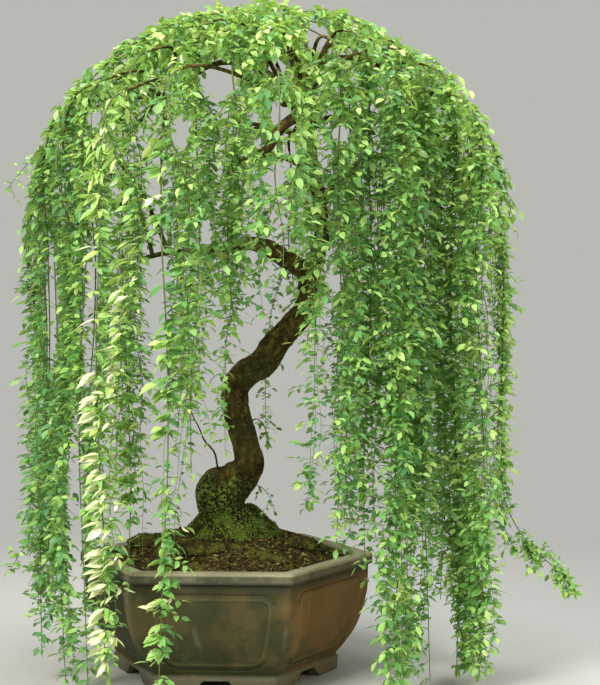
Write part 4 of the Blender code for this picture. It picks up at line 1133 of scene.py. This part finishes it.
def twig_line(start, thick, path):
    """A twig's (x, y, z, radius) points, from the wood to the beginning of a leafy stem."""
    way = unit(path[1] - path[0])
    end = path[0]
    reach = np.linalg.norm(end - start)
    lead = end - way * reach * 0.35
    knee = start + (lead - start) * 0.45 + np.array([0, 0, reach * 0.08])
    points = []
    for k in range(9):
        t = k / 8
        u = 1 - t
        spot = start * u ** 3 + knee * 3 * t * u * u + lead * 3 * t * t * u + end * t ** 3
        points.append((*spot, thick + (TWIG_END - thick) * t))
    return np.array(points)


def clears(points, crowd):
    """True if a twig keeps off the leafy stems round it, but for its own end."""
    line = smooth_line(points, WOOD_STEP)[:-3]
    gaps = np.linalg.norm(line[:, None, :3] - crowd[None, :, :3], axis=2)
    return bool((gaps > line[:, 3][:, None] + crowd[None, :, 3] + TWIG_CLEAR).all())


def best_twig(name, path, crowds, wood):
    """The shortest twig to a leafy stem that keeps off the other stems, or else the shortest of all."""
    start = path[0]
    near = []
    for other, crowd in crowds.items():
        gap = np.linalg.norm(crowd[:, :3] - start, axis=1)
        near.append(crowd[(gap < NEARBY) & (gap > (OWN_END if other == name else 0.0))])
    near = np.concatenate(near)
    below = sorted((np.linalg.norm(p - start), r, k) for k, (p, r) in enumerate(wood)
                   if p[2] < start[2] + TWIG_RISE)
    lines = [twig_line(wood[k][0], min(r * 0.8, TWIG_THICK), path) for _, r, k in below]
    return smooth_line(next((line for line in lines if clears(line, near)), lines[0]), STEM_STEP)


# ---------------------------------------------------------------- leafy stems
def crown_top(places):
    """How high leaves may reach over these places: tufts stand off it, and it has dents."""
    x, y, z = places.T
    tufts = (np.sin(x * 71 + 1.3) * np.sin(y * 83 + 0.7) + np.sin(x * 131 - y * 45) * 0.6
             + np.sin(x * 263 + 2.0) * 0.5)
    wide = 0.006 + 0.005 * np.sin(z * 230 + y * 60) + 0.003 * np.sin(z * 410 + 1.0)
    share = np.minimum(np.hypot((x - CROWN_X) / (CROWN_HALF_X + wide), y / (CROWN_HALF_Y + wide * 0.5)), 1)
    dents = sum(deep * np.exp(-((x - at) / half) ** 2) for at, half, deep in DENTS)
    dome = CROWN_BASE + CROWN_RISE * (1 - share ** CROWN_POWER) ** (1 / CROWN_POWER)
    return dome - 0.003 + tufts * 0.0055 - dents


def crown_height(x, y):
    share = math.hypot((x - CROWN_X) / CROWN_HALF_X, y / CROWN_HALF_Y)
    inside = max(0.0, 1.0 - min(share, 1.0) ** CROWN_POWER)
    return CROWN_BASE + CROWN_RISE * inside ** (1 / CROWN_POWER)


def hanging_path(x, y, tip):
    """A stem that leaves the crown outwards, turns over its shoulder and hangs to its tip."""
    out = unit(np.array([x - CROWN_X, y, 0.0]))
    start = np.array([x, y, 0.0]) - out * SHOULDER_IN
    start[2] = crown_height(start[0], start[1]) - SHOULDER_UNDER
    path = [start + out * away + np.array([0, 0, up]) for away, up in SHOULDER_BEND]
    top = path[-1]
    for k in range(1, HANG_STEPS + 1):
        share = k / HANG_STEPS
        bow = HANG_SWAY * math.sin(share * 2 * math.pi + x * 40)
        path.append(np.array([top[0] + (x - top[0]) * share + bow, top[1] + (y - top[1]) * share + bow * 0.5,
                              top[2] + (tip - top[2]) * share]))
    return np.array(path)


def spray_path(bearing, first, last):
    """A stem that lies along the crown from one share of its half width to another."""
    path = []
    for k in range(SPRAY_POINTS):
        share = first + (last - first) * k / (SPRAY_POINTS - 1)
        x = CROWN_X + CROWN_HALF_X * share * math.cos(math.radians(bearing))
        y = CROWN_HALF_Y * share * math.sin(math.radians(bearing))
        path.append(np.array([x, y, crown_height(x, y) - SPRAY_UNDER]))
    return np.array(path)


def patches(places):
    """Leaf tone that drifts from patch to patch of the crown, from about -1.6 to 1.6."""
    x, y, z = places.T
    return (np.sin(x * 118 + z * 63 + 1.0) * np.sin(z * 97 - x * 41 + y * 52)
            + 0.6 * np.sin(x * 61 - z * 187 + y * 73))


def seen(places):
    """Where the viewer sees places: across and above at the trunk's distance, and how that scales them."""
    ray = places - EYE
    nearer = -EYE[1] / ray[:, 1]
    return EYE[0] + ray[:, 0] * nearer, EYE[2] + ray[:, 2] * nearer, nearer


class Foliage:
    """The stems and leaves of one leafy piece, gathered before they become a mesh."""

    def __init__(self, name, habit, warmer, seed):
        self.name, self.habit = name, habit
        (self.size, self.warmth, self.beside, self.spread,
         self.every, self.reach, self.shortest) = HABITS[habit]
        self.warmth += warmer
        self.rng = np.random.default_rng(seed)
        self.tubes, self.spikes, self.leaves = [], [], []
        self.gaps = GAPS + (() if habit in ("bright", "near") else GAPS_BEHIND)
        self.pale = habit in PAINTED_WINDOW_LIGHT        # hangs by the window
        self.forward = 0.45 if habit == "spray" else 0.0
        self.free = 0.0                   # how far its leaves may stand off the crown

    def stem(self, line, thick, thin, sides, green):
        self.tubes.append((*tube(line, np.linspace(thick, thin, len(line)), sides), green))

    def shown(self, places):
        """Which places are not in one of the gaps of the leafage."""
        bare = np.zeros(len(places))
        across, above, _ = seen(places)
        for x, z, half, high, share in self.gaps:
            away = np.hypot((across - x) / half, (above - z) / high)
            away += self.rng.normal(0, GAP_RAGGED, len(places))
            bare = np.maximum(bare, np.clip((GAP_EDGE - away) * GAP_SHARP, 0, 1) * share)
        return self.rng.random(len(places)) >= bare

    def round_gaps(self, line):
        """Bends a stem that would cross a gap to pass beside it."""
        line = line.copy()
        for x, z, half, high, share in self.gaps:
            across, above, nearer = seen(line)
            u, v = (across - x) / half, (above - z) / high
            if share > BEND_CLEAR and half < BEND_NARROW and (abs(v) < 1).any():
                way = 1 if u[abs(v) < 1].mean() > 0 else -1
                grown = np.cos(np.clip(v / BEND_REACH, -1, 1) * math.pi / 2) ** 2
                edge = self.rng.uniform(1.05, 1.9) * grown
                line[:, 0] += np.maximum(0, edge - way * u) * way * half / nearer * (abs(v) < BEND_REACH)
        return line

    def put(self, spots, ways, faces, lengths, tones):
        """Adds leaves, but for those in a gap; by the window they are longer on that side and get painted light
        there, a paler green.
        """
        ways, lengths = unit(ways), np.array(lengths)
        tones = tones + patches(spots) * (PATCHY_PALE if self.pale else PATCHY)
        if self.pale:
            # painted light: leaves by the window that point to its side are painted paler, most of all low down
            left = np.clip(-ways[:, 0], -0.6, 1)
            pale = PAINTED_WINDOW_LIGHT[self.habit] * (1 - 0.8 * np.clip((spots[:, 2] - PALE_BELOW) / PALE_FADES, 0, 1))
            tones, lengths = tones + left * pale, lengths * (1 + PALE_LONGER * np.maximum(left, 0))
        else:
            tones = np.minimum(tones, WARMEST)
        over = spots[:, 2] + ways[:, 2] * lengths - crown_top(spots + ways * lengths[:, None])
        over -= self.rng.exponential(STANDS_UP, len(spots)) + self.free
        ways[:, 2] -= np.clip(over / lengths, 0, 1.5)
        ways = unit(ways)
        keep = self.shown(spots + ways * lengths[:, None] * 0.5)
        self.leaves.append(np.column_stack([spots, ways, unit(faces), lengths, tones])[keep])

    def along(self, line, first, every):
        """Places on a line with the frame there: spots, ahead, side ways, and the share of the line left."""
        rng = self.rng
        at = np.concatenate([[0.0], np.cumsum(np.linalg.norm(np.diff(line, axis=0), axis=1))])
        s = np.arange(at[-1] * first + rng.uniform(0, every), at[-1], every)
        s = np.clip(s + rng.uniform(-0.35, 0.35, len(s)) * every, 0, at[-1])
        spots, ahead, a, b = (np.stack([np.interp(s, at, values[:, k]) for k in range(3)], 1)
                              for values in (line, *turned_frames(line)))
        if self.pale:
            turn = np.arange(len(s)) * math.pi + rng.normal(0, 0.55, len(s))
            a = unit(np.cross(ahead, (0.0, 1.0, 0.0)))
            b = np.cross(ahead, a)
        else:
            turn = rng.uniform(0, 2 * math.pi) + np.arange(len(s)) * SPIRAL + rng.normal(0, 0.35, len(s))
        side = a * np.cos(turn)[:, None] + b * np.sin(turn)[:, None]
        return spots, unit(ahead), unit(side), 1 - s / at[-1]

    def upward(self, ways, lean, jitter):
        """Upper sides for blades that point these ways."""
        up = np.array([0.0, 0.0, 1.0]) + lean + self.rng.normal(0, jitter, ways.shape)
        return up - ways * (up * ways).sum(1)[:, None]

    def tones(self, count, middle):
        """Warmth of leaves: most like their stem's, a few nearly yellow or very dark."""
        far = self.rng.random(count)
        return middle + self.rng.normal(0, 0.10, count) + 0.26 * (far > 0.94) - 0.24 * (far < 0.12)

    def stem_leaves(self, line, first, every, length):
        """Leaves straight on the stem."""
        rng = self.rng
        spots, ahead, side, left = self.along(line, first, every)
        n = len(spots)
        if n:
            ways = unit(side + ahead * (self.forward + rng.uniform(-0.2, 0.35, (n, 1)))
                        + DOWN * rng.uniform(-0.05, 0.45, (n, 1)))
            self.put(spots, ways, self.upward(ways, side * 0.2 + (0, -0.20, 0), TILT["stem"]),
                     length * rng.uniform(*LENGTHS["stem"], n) * np.minimum(1, 0.6 + left * 3),
                     self.tones(n, self.warmth + PAINTED_SHADE_AND_LIGHT_AT["stem"]))

    def side_reach(self, line, spots, ways, left, tufted):
        """How far side shoots run out: less at the tip and outwards, more where the stem is tufted."""
        n = len(spots)
        reach = self.reach * self.rng.uniform(0.45, 1.30, n) * np.minimum(1, 0.6 + left * 4)
        out = unit(spots - np.column_stack([np.full(n, CROWN_X), np.zeros(n), np.minimum(spots[:, 2], 0.42)]))
        reach *= 1 - 0.5 * np.maximum(0, (ways * out).sum(1))
        if tufted:
            wave = self.rng.uniform(0, ROUND) + left * len(line) * STEM_STEP * ROUND / TUFT
            reach *= 0.90 + 0.38 * np.sin(wave + 1.2 * np.sin(wave * 0.37))
        return reach

    def side_shoots(self, line, first, every, length, tufted):
        """Drooping side shoots with leaves to both sides and one at the end."""
        rng = self.rng
        spots, ahead, side, left = self.along(line, first, every)
        n = len(spots)
        if not n:
            return
        ways = unit(side + ahead * (self.forward + rng.uniform(-0.1, 0.4, (n, 1)))
                    + DOWN * rng.uniform(-0.2, 0.30, (n, 1)))
        reach = self.side_reach(line, spots, ways, left, tufted)
        ends = unit(ways + DOWN * 0.25)
        across = np.cross(ends, unit(self.upward(ends, side * 0.3 + (0, -0.12, 0), TILT["shoot"])))
        tone = self.warmth + rng.normal(0, 0.17, n) + PAINTED_SHADE_AND_LIGHT_AT["side"]
        run = ways * reach[:, None] + (reach * 0.20)[:, None] * DOWN
        run[:, 2] -= np.clip(spots[:, 2] + run[:, 2] + 0.002 - self.free - crown_top(spots + run), 0, 0.02)
        tips = spots + run
        keep = self.shown((spots + tips) / 2)
        self.spikes.append((spots[keep], tips[keep]))
        count = (reach / LEAF_EVERY).astype(int) + rng.integers(0, 2, n)
        count = np.clip(count, FEWEST_LEAVES, MOST_LEAVES)
        for k in range(count.max()):
            some = count > k
            m = int(some.sum())
            share = ((k + 0.55) / (count[some] + 0.4))[:, None]
            hand = across[some] * (1 if k % 2 else -1)
            lean = unit(hand * rng.uniform(0.7, 1.1, (m, 1)) + ends[some] * rng.uniform(0.3, 0.9, (m, 1))
                        + DOWN * rng.uniform(-0.15, 0.2, (m, 1)))
            self.put(spots[some] + run[some] * share, lean, self.upward(lean, side[some] * 0.3, TILT["side"]),
                     length * rng.uniform(*LENGTHS["side"], m), self.tones(m, tone[some]))
        ends = unit(ends + rng.normal(0, 0.22, (n, 3)))
        self.put(tips, ends, self.upward(ends, side * 0.3, TILT["end"]),
                 length * rng.uniform(*LENGTHS["end"], n), self.tones(n, tone + PAINTED_SHADE_AND_LIGHT_AT["end"]))

    def knots(self, line):
        """Knots of long pale leaves."""
        rng = self.rng
        spots, ahead, _, left = self.along(line, KNOT_FIRST, KNOT_EVERY[self.habit])
        for way, spread, count, length in KNOT:
            places = (np.repeat(spots, count, 0)
                      + np.repeat(ahead, count, 0) * rng.uniform(-1, 1, (len(spots) * count, 1)) * KNOT_LOOSE)
            ways = unit(np.array(way) + rng.normal(0, spread, places.shape))
            lengths = np.minimum(1, 0.6 + np.repeat(left, count) * 5)
            self.put(places, ways, self.upward(ways, np.array((0, -0.45, 0.0)), TILT["knot"]),
                     self.size * length * rng.uniform(*LENGTHS["knot"], len(places)) * lengths,
                     self.warmth + PAINTED_SHADE_AND_LIGHT_AT["knot"] + rng.normal(0, 0.08, len(places)))

    def tip_leaves(self, line, length):
        """Three leaves at the end of a stem."""
        rng = self.rng
        ways = unit(unit(line[-1] - line[-2]) + rng.normal(0, 0.45, (3, 3)))
        self.put(np.repeat(line[-1:], 3, 0), ways, rng.normal(0, 1, (3, 3)),
                 length * rng.uniform(*LENGTHS["tip"], 3),
                 self.warmth + PAINTED_SHADE_AND_LIGHT_AT["tip"] + rng.normal(0, 0.08, 3))

    def clothe(self, line, first=0.0, sparse=1.0, size=1.0, knots=False):
        """All the leaves of one stem; one by the window may have knots of leaves and fewer others."""
        knotted = knots and self.pale
        every, length = self.every * sparse, self.size * size
        leaf_gap, shoot_gap = KNOTTED_GAPS if knotted else PLAIN_GAPS
        self.stem_leaves(line, first, every * leaf_gap, length)
        self.side_shoots(line, first, every * shoot_gap, length, not knotted)
        if knotted:
            self.knots(line)
        self.tip_leaves(line, length)

    def beside_lines(self, line, first, drift, bow):
        """Thinner stems that part from the main one and run beside it."""
        rng = self.rng
        out = unit(np.array([line[-1][0] - CROWN_X, line[-1][1], 0.0]))
        round_way = np.array([-out[1], out[0], 0.0])
        found = []
        share = np.linspace(0, 1, len(line))
        for k in range(self.beside):
            turn = 2 * math.pi * (k + rng.uniform(-0.25, 0.25)) / self.beside
            off = ((round_way * math.cos(turn) + out * (math.sin(turn) * 0.8 - 0.5)) * self.spread
                   * rng.uniform(0.6, 1.25))
            end = rng.uniform(self.shortest, 1.0) if k else rng.uniform(max(self.shortest, 0.88), 1.0)
            keep = (share >= rng.uniform(0.0, first)) & (share <= end)
            kept = share[keep]
            part = np.clip((kept - kept[0]) / 0.15, 0, 1)
            grown = (part * part * (3 - 2 * part))[:, None]
            wander = np.array([[uneven((s * 6, k, len(self.name)), 1.0, 3 + k + way) for way in range(3)]
                               for s in kept]) * (0.013, 0.013, 0.0)
            swing = np.clip((kept - 0.55) / 0.45, 0, 1)[:, None] ** 1.5
            aside = drift * swing + bow * np.sin(math.pi * np.clip(kept / 0.62, 0, 1))[:, None] * grown
            aside = aside * np.array([1.0, 0.0, 0.0])
            found.append(self.round_gaps(line[keep] + (off + wander) * grown + aside))
        return found

    def blades(self, t, s, w):
        """The leaves' points, folded along the rib and curled towards the tip."""
        leaves = np.concatenate(self.leaves)
        spot, way, face, length = leaves[:, :3], leaves[:, 3:6], leaves[:, 6:9], leaves[:, 9]
        side = unit(np.cross(face, way))
        up = np.cross(way, side)
        n = len(leaves)
        wide = (length * LEAF_WIDTH / 2 * self.rng.uniform(0.85, 1.15, n)
                * (SLIM_LEAF if self.habit == "bright" else 1.0))
        curl, fold = self.rng.uniform(0.0, 0.32, n), self.rng.uniform(0.10, 0.50, n)
        rise = fold[:, None] * w * wide[:, None] - (curl * length)[:, None] * t * t
        points = (spot[:, None] + way[:, None] * (t * length[:, None])[..., None]
                  + side[:, None] * (s * w * wide[:, None])[..., None] + up[:, None] * rise[..., None])
        return points.reshape(-1, 3), leaves[:, 10]

    def build(self, finishes, nodes, shape):
        """Makes the piece; in its map every leaf and every stem has a square of its own."""
        t, s, w, leaf_faces = shape
        blades, tone = self.blades(t, s, w)
        n, m = len(tone), len(t)
        tiles = math.ceil(math.sqrt(n + len(self.tubes) + 1))
        verts, faces, slots, places, measures = [], [], [], [], []

        def add(v, f, slot, square, place, measure):
            first = sum(map(len, verts))
            verts.append(v)
            faces.extend([first + i for i in face] for face in f)
            slots.extend([slot] * len(f))
            places.append((np.stack([square % tiles, square // tiles], -1) + 0.06 + 0.88 * place) / tiles)
            measures.append(measure)

        def many(f, points, count):
            return (np.arange(count)[:, None, None] * points + np.array(f)[None]).reshape(-1, 3).tolist()

        add(blades, many(leaf_faces, m, n), 1, np.repeat(np.arange(n), m),
            np.tile(np.stack([0.5 + 0.5 * s * w, t], 1), (n, 1)),
            np.stack([np.tile(t, n), np.tile(s, n), np.repeat(tone, m)], 1))
        for k, (v, f, place, green) in enumerate(self.tubes):
            add(v, f, 0, np.full(len(v), n + k), place, np.full((len(v), 3), green))
        base, tips = (np.concatenate(ends) for ends in zip(*self.spikes))
        if len(base):
            run = unit(tips - base)
            a = unit(np.cross(run, ASKEW))
            b = np.cross(run, a)
            corners = [base + (a * math.cos(turn) + b * math.sin(turn)) * SIDE_SHOOT for turn in THIRDS]
            cone, count = [(0, 1, 3), (1, 2, 3), (2, 0, 3), (2, 1, 0)], len(base)
            add(np.stack(corners + [tips], 1).reshape(-1, 3), many(cone, 4, count), 0,
                np.full(count * 4, n + len(self.tubes)),
                np.tile([(0.1, 0.1), (0.5, 0.1), (0.9, 0.1), (0.5, 0.9)], (count, 1)),
                np.full((count * 4, 3), 0.8))
        made = piece("leafy_" + self.name, np.concatenate(verts), faces, finishes, nodes, slots)
        carry(made, "blade", np.concatenate(measures), "FLOAT_VECTOR")
        layer = made.data.uv_layers.new(name="OFBake")
        index = np.empty(len(made.data.loops), int)
        made.data.loops.foreach_get("vertex_index", index)
        layer.uv.foreach_set("vector", np.concatenate(places)[index].astype(np.float32).ravel())


def leaf_shape(edge, rib):
    """A leaf's points as (along, side, half width), and its faces."""
    t = list(rib) + [p[0] for p in edge] * 2
    s = [0.0] * len(rib) + [1.0] * len(edge) + [-1.0] * len(edge)
    w = [0.0] * len(rib) + [p[1] for p in edge] * 2
    faces = []
    for first, flip in ((len(rib), False), (len(rib) + len(edge), True)):
        i = j = 0
        while i < len(rib) - 1 or j < len(edge) - 1:
            rib_next = rib[i + 1] if i < len(rib) - 1 else math.inf
            edge_next = edge[j + 1][0] if j < len(edge) - 1 else math.inf
            if rib_next < edge_next:
                face = (i, first + j, i + 1)
                i += 1
            else:
                face = (i, first + j, first + j + 1)
                j += 1
            faces.append(face[::-1] if flip else face)
    return np.array(t), np.array(s), np.array(w), faces


def leafy_paths():
    """Every leafy stem's centre line, by its name."""
    paths = {}
    for side, places in HANGING.items():
        for k, (x, y, tip) in enumerate(places, 1):
            paths[f"hanging_stem_{side}_{k}"] = hanging_path(x, y, tip)
    paths["hanging_stem_right_stray"] = np.array(STRAY)
    for k, (bearing, first, last) in enumerate(SPRAYS, 1):
        paths[f"crown_spray_{k}"] = spray_path(bearing, first, last)
    return paths


def shoot_line(points):
    return smooth_line([(*point, 0.0) for point in points], STEM_STEP)[:, :3]


def leafy_stem(name, path, twig, seed):
    """The leafage of one stem, of the thinner stems beside it, of its free shoots and of its twig."""
    kind, number = name.split("_")[-2:]
    place = kind + "_" + number
    warmer = WARMER[kind][int(number) - 1] if kind in WARMER and number != "stray" else 0.0
    leafage = Foliage(name, HABIT_OF.get(place, kind), warmer, seed)
    line = smooth_line(path, STEM_STEP)
    leafage.stem(line, *MAIN_STEM)
    leafage.clothe(line, knots=True)
    for more in leafage.beside_lines(line, 0.10, SWING.get(place, 0.0), BOW.get(place, 0.0)):
        leafage.stem(more[::2] if len(more) > 8 else more, *BESIDE_STEM)
        leafage.clothe(more, 0.03, sparse=1.25 if leafage.pale else 1.0, size=0.82 if leafage.pale else 1.0)
    usual = leafage.warmth
    for size, extra, points in [shoot[1:] for shoot in SHOOTS if shoot[0] == place]:
        leafage.warmth, leafage.free = usual + extra, 1.0
        shoot = shoot_line(points)
        leafage.stem(shoot, *FREE_SHOOT)
        leafage.clothe(shoot, sparse=0.8, size=size)
    leafage.free = 0.0
    leafage.clothe(twig[:, :3], 0.25, size=0.65 if leafage.pale else 0.85)
    return leafage


def low_shoots():
    """The leafage of the small shoots low on the trunk."""
    leafage = Foliage("low_shoots", "front", -0.12, 99)
    for points in LOW_SHOOTS:
        shoot = shoot_line(points)
        leafage.stem(shoot, *LOW_SHOOT)
        leafage.clothe(shoot, 0.25, sparse=1.3, size=0.75)
    return leafage


def crown(bark, finishes):
    """The twigs and all the leafy stems."""
    paths, wood = leafy_paths(), wood_points()
    fine, plain = leaf_shape(*FINE_LEAF), leaf_shape(*PLAIN_LEAF)
    crowds = {}
    for name, path in paths.items():
        thick = SPRAY_THICK if name.startswith("crown") else STEM_THICK
        crowds[name] = smooth_line(np.column_stack([path, np.full(len(path), thick)]), WOOD_STEP)
    twigs = []
    for seed, (name, path) in enumerate(paths.items(), 100):
        twigs.append(best_twig(name, path, crowds, wood))
        leafage = leafy_stem(name, path, twigs[-1], seed)
        leafage.build(finishes, [name], fine if leafage.pale else plain)
    low_shoots().build(finishes, ["trunk"], fine)
    verts, faces = [], []
    for line in (*twigs, smooth_line(LOW_TWIG, STEM_STEP)):
        add_shape(verts, faces, *tube(line[:, :3], line[:, 3], 8)[:2])
    made = piece("bare_twigs", verts, faces, [bark], ["trunk"])
    carry(made, "crack", [0.0] * len(verts))


# ---------------------------------------------------------------- floor, light and camera
WALL_GREY, FLOOR_GREY, SKY_WHITE = (0.49, 0.49, 0.46), (0.43, 0.43, 0.41), (0.96, 0.98, 0.94)
SKY_STRENGTH = 0.54
FLOOR_REACH, FLOOR_UNDER = 6.0, 0.0005
FLOOR_FADES = 0.30, 1.10          # how far out the floor turns into the wall's grey
CAMERA_PLACE = (0.0070, -1.3426, 0.3307)
LENS = 69.0
# lamps: place, what they are aimed at, size, power and colour
LAMPS = {
    "window": ((-1.2, -1.5, 1.5), (0.0, 0.0, 0.35), 0.9, 67.0, (1.0, 0.98, 0.90)),
    "doorway": ((1.5, -1.2, 0.9), (0.0, 0.0, 0.35), 0.8, 23.0, (1.0, 0.97, 0.88)),
    "ceiling": ((0.3, 0.1, 2.0), (0.0, 0.0, 0.3), 1.4, 30.0, (0.95, 0.98, 1.0)),
}


def floor():
    """A plain pale floor that fades into the wall's grey."""
    bpy.ops.mesh.primitive_circle_add(vertices=96, radius=FLOOR_REACH, fill_type="NGON",
                                      location=(0, 0, -FLOOR_UNDER))
    made = bpy.context.object
    made.name = "pale_floor"
    f = Finish("pale_floor", 0.9)
    f.wear(Base_Color=FLOOR_GREY)
    away = f.node("VectorMath", {"operation": "LENGTH"}, {0: f.place}, out="Value")
    far = f.node("Emission", {}, {"Color": WALL_GREY, "Strength": 1.0})
    f.finished(f.either(f.ease(away, *FLOOR_FADES) * f.looked_at(), Wire(f, f.shader.outputs[0]), far))
    made.data.materials.append(f.material)


def studio():
    """Sky light, a plain grey wall all round, three soft lamps and the camera."""
    scene = bpy.context.scene
    scene.world = bpy.data.worlds.new("studio")
    scene.world.use_nodes = True
    room = Nodes(scene.world.node_tree)
    light = room.node("Background", {}, {"Color": SKY_WHITE, "Strength": SKY_STRENGTH})
    wall = room.node("Background", {}, {"Color": WALL_GREY})
    room.finished(room.either(room.looked_at(), light, wall), "World")
    for name, (place, aim, size, power, colour) in LAMPS.items():
        lamp = bpy.data.lights.new(name, "AREA")
        lamp.size, lamp.energy, lamp.color = size, power, colour
        made = bpy.data.objects.new(name, lamp)
        made.location = place
        made.rotation_euler = (Vector(aim) - Vector(place)).to_track_quat("-Z", "Y").to_euler()
        scene.collection.objects.link(made)
    view = bpy.data.cameras.new("camera")
    view.lens, view.sensor_width = LENS, 36.0
    view.clip_start, view.clip_end = 0.01, 50.0
    eye = bpy.data.objects.new("camera", view)
    eye.location = CAMERA_PLACE
    eye.rotation_euler = (math.pi / 2, 0.0, 0.0)
    scene.collection.objects.link(eye)
    scene.camera = eye
    scene.view_settings.view_transform = "Standard"


floor()
studio()
pot()
for node, finish in (("drain_mesh", net_finish()), ("mesh_clip", wire_finish()),
                     ("drainage_grit", grit_finish())):
    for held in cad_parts[node].material_slots:
        held.material = finish
soil()
litter()
moss_skirt(moss_finish())
cushion = cushion_finish()
for pad in ("front", "left", "right", "back"):
    moss_cushion("moss_cushion_" + pad, "moss_pad_" + pad, cushion)
bark = bark_finish()
old_wood(bark)
crown(bark, [twig_finish(), leaf_finish()])
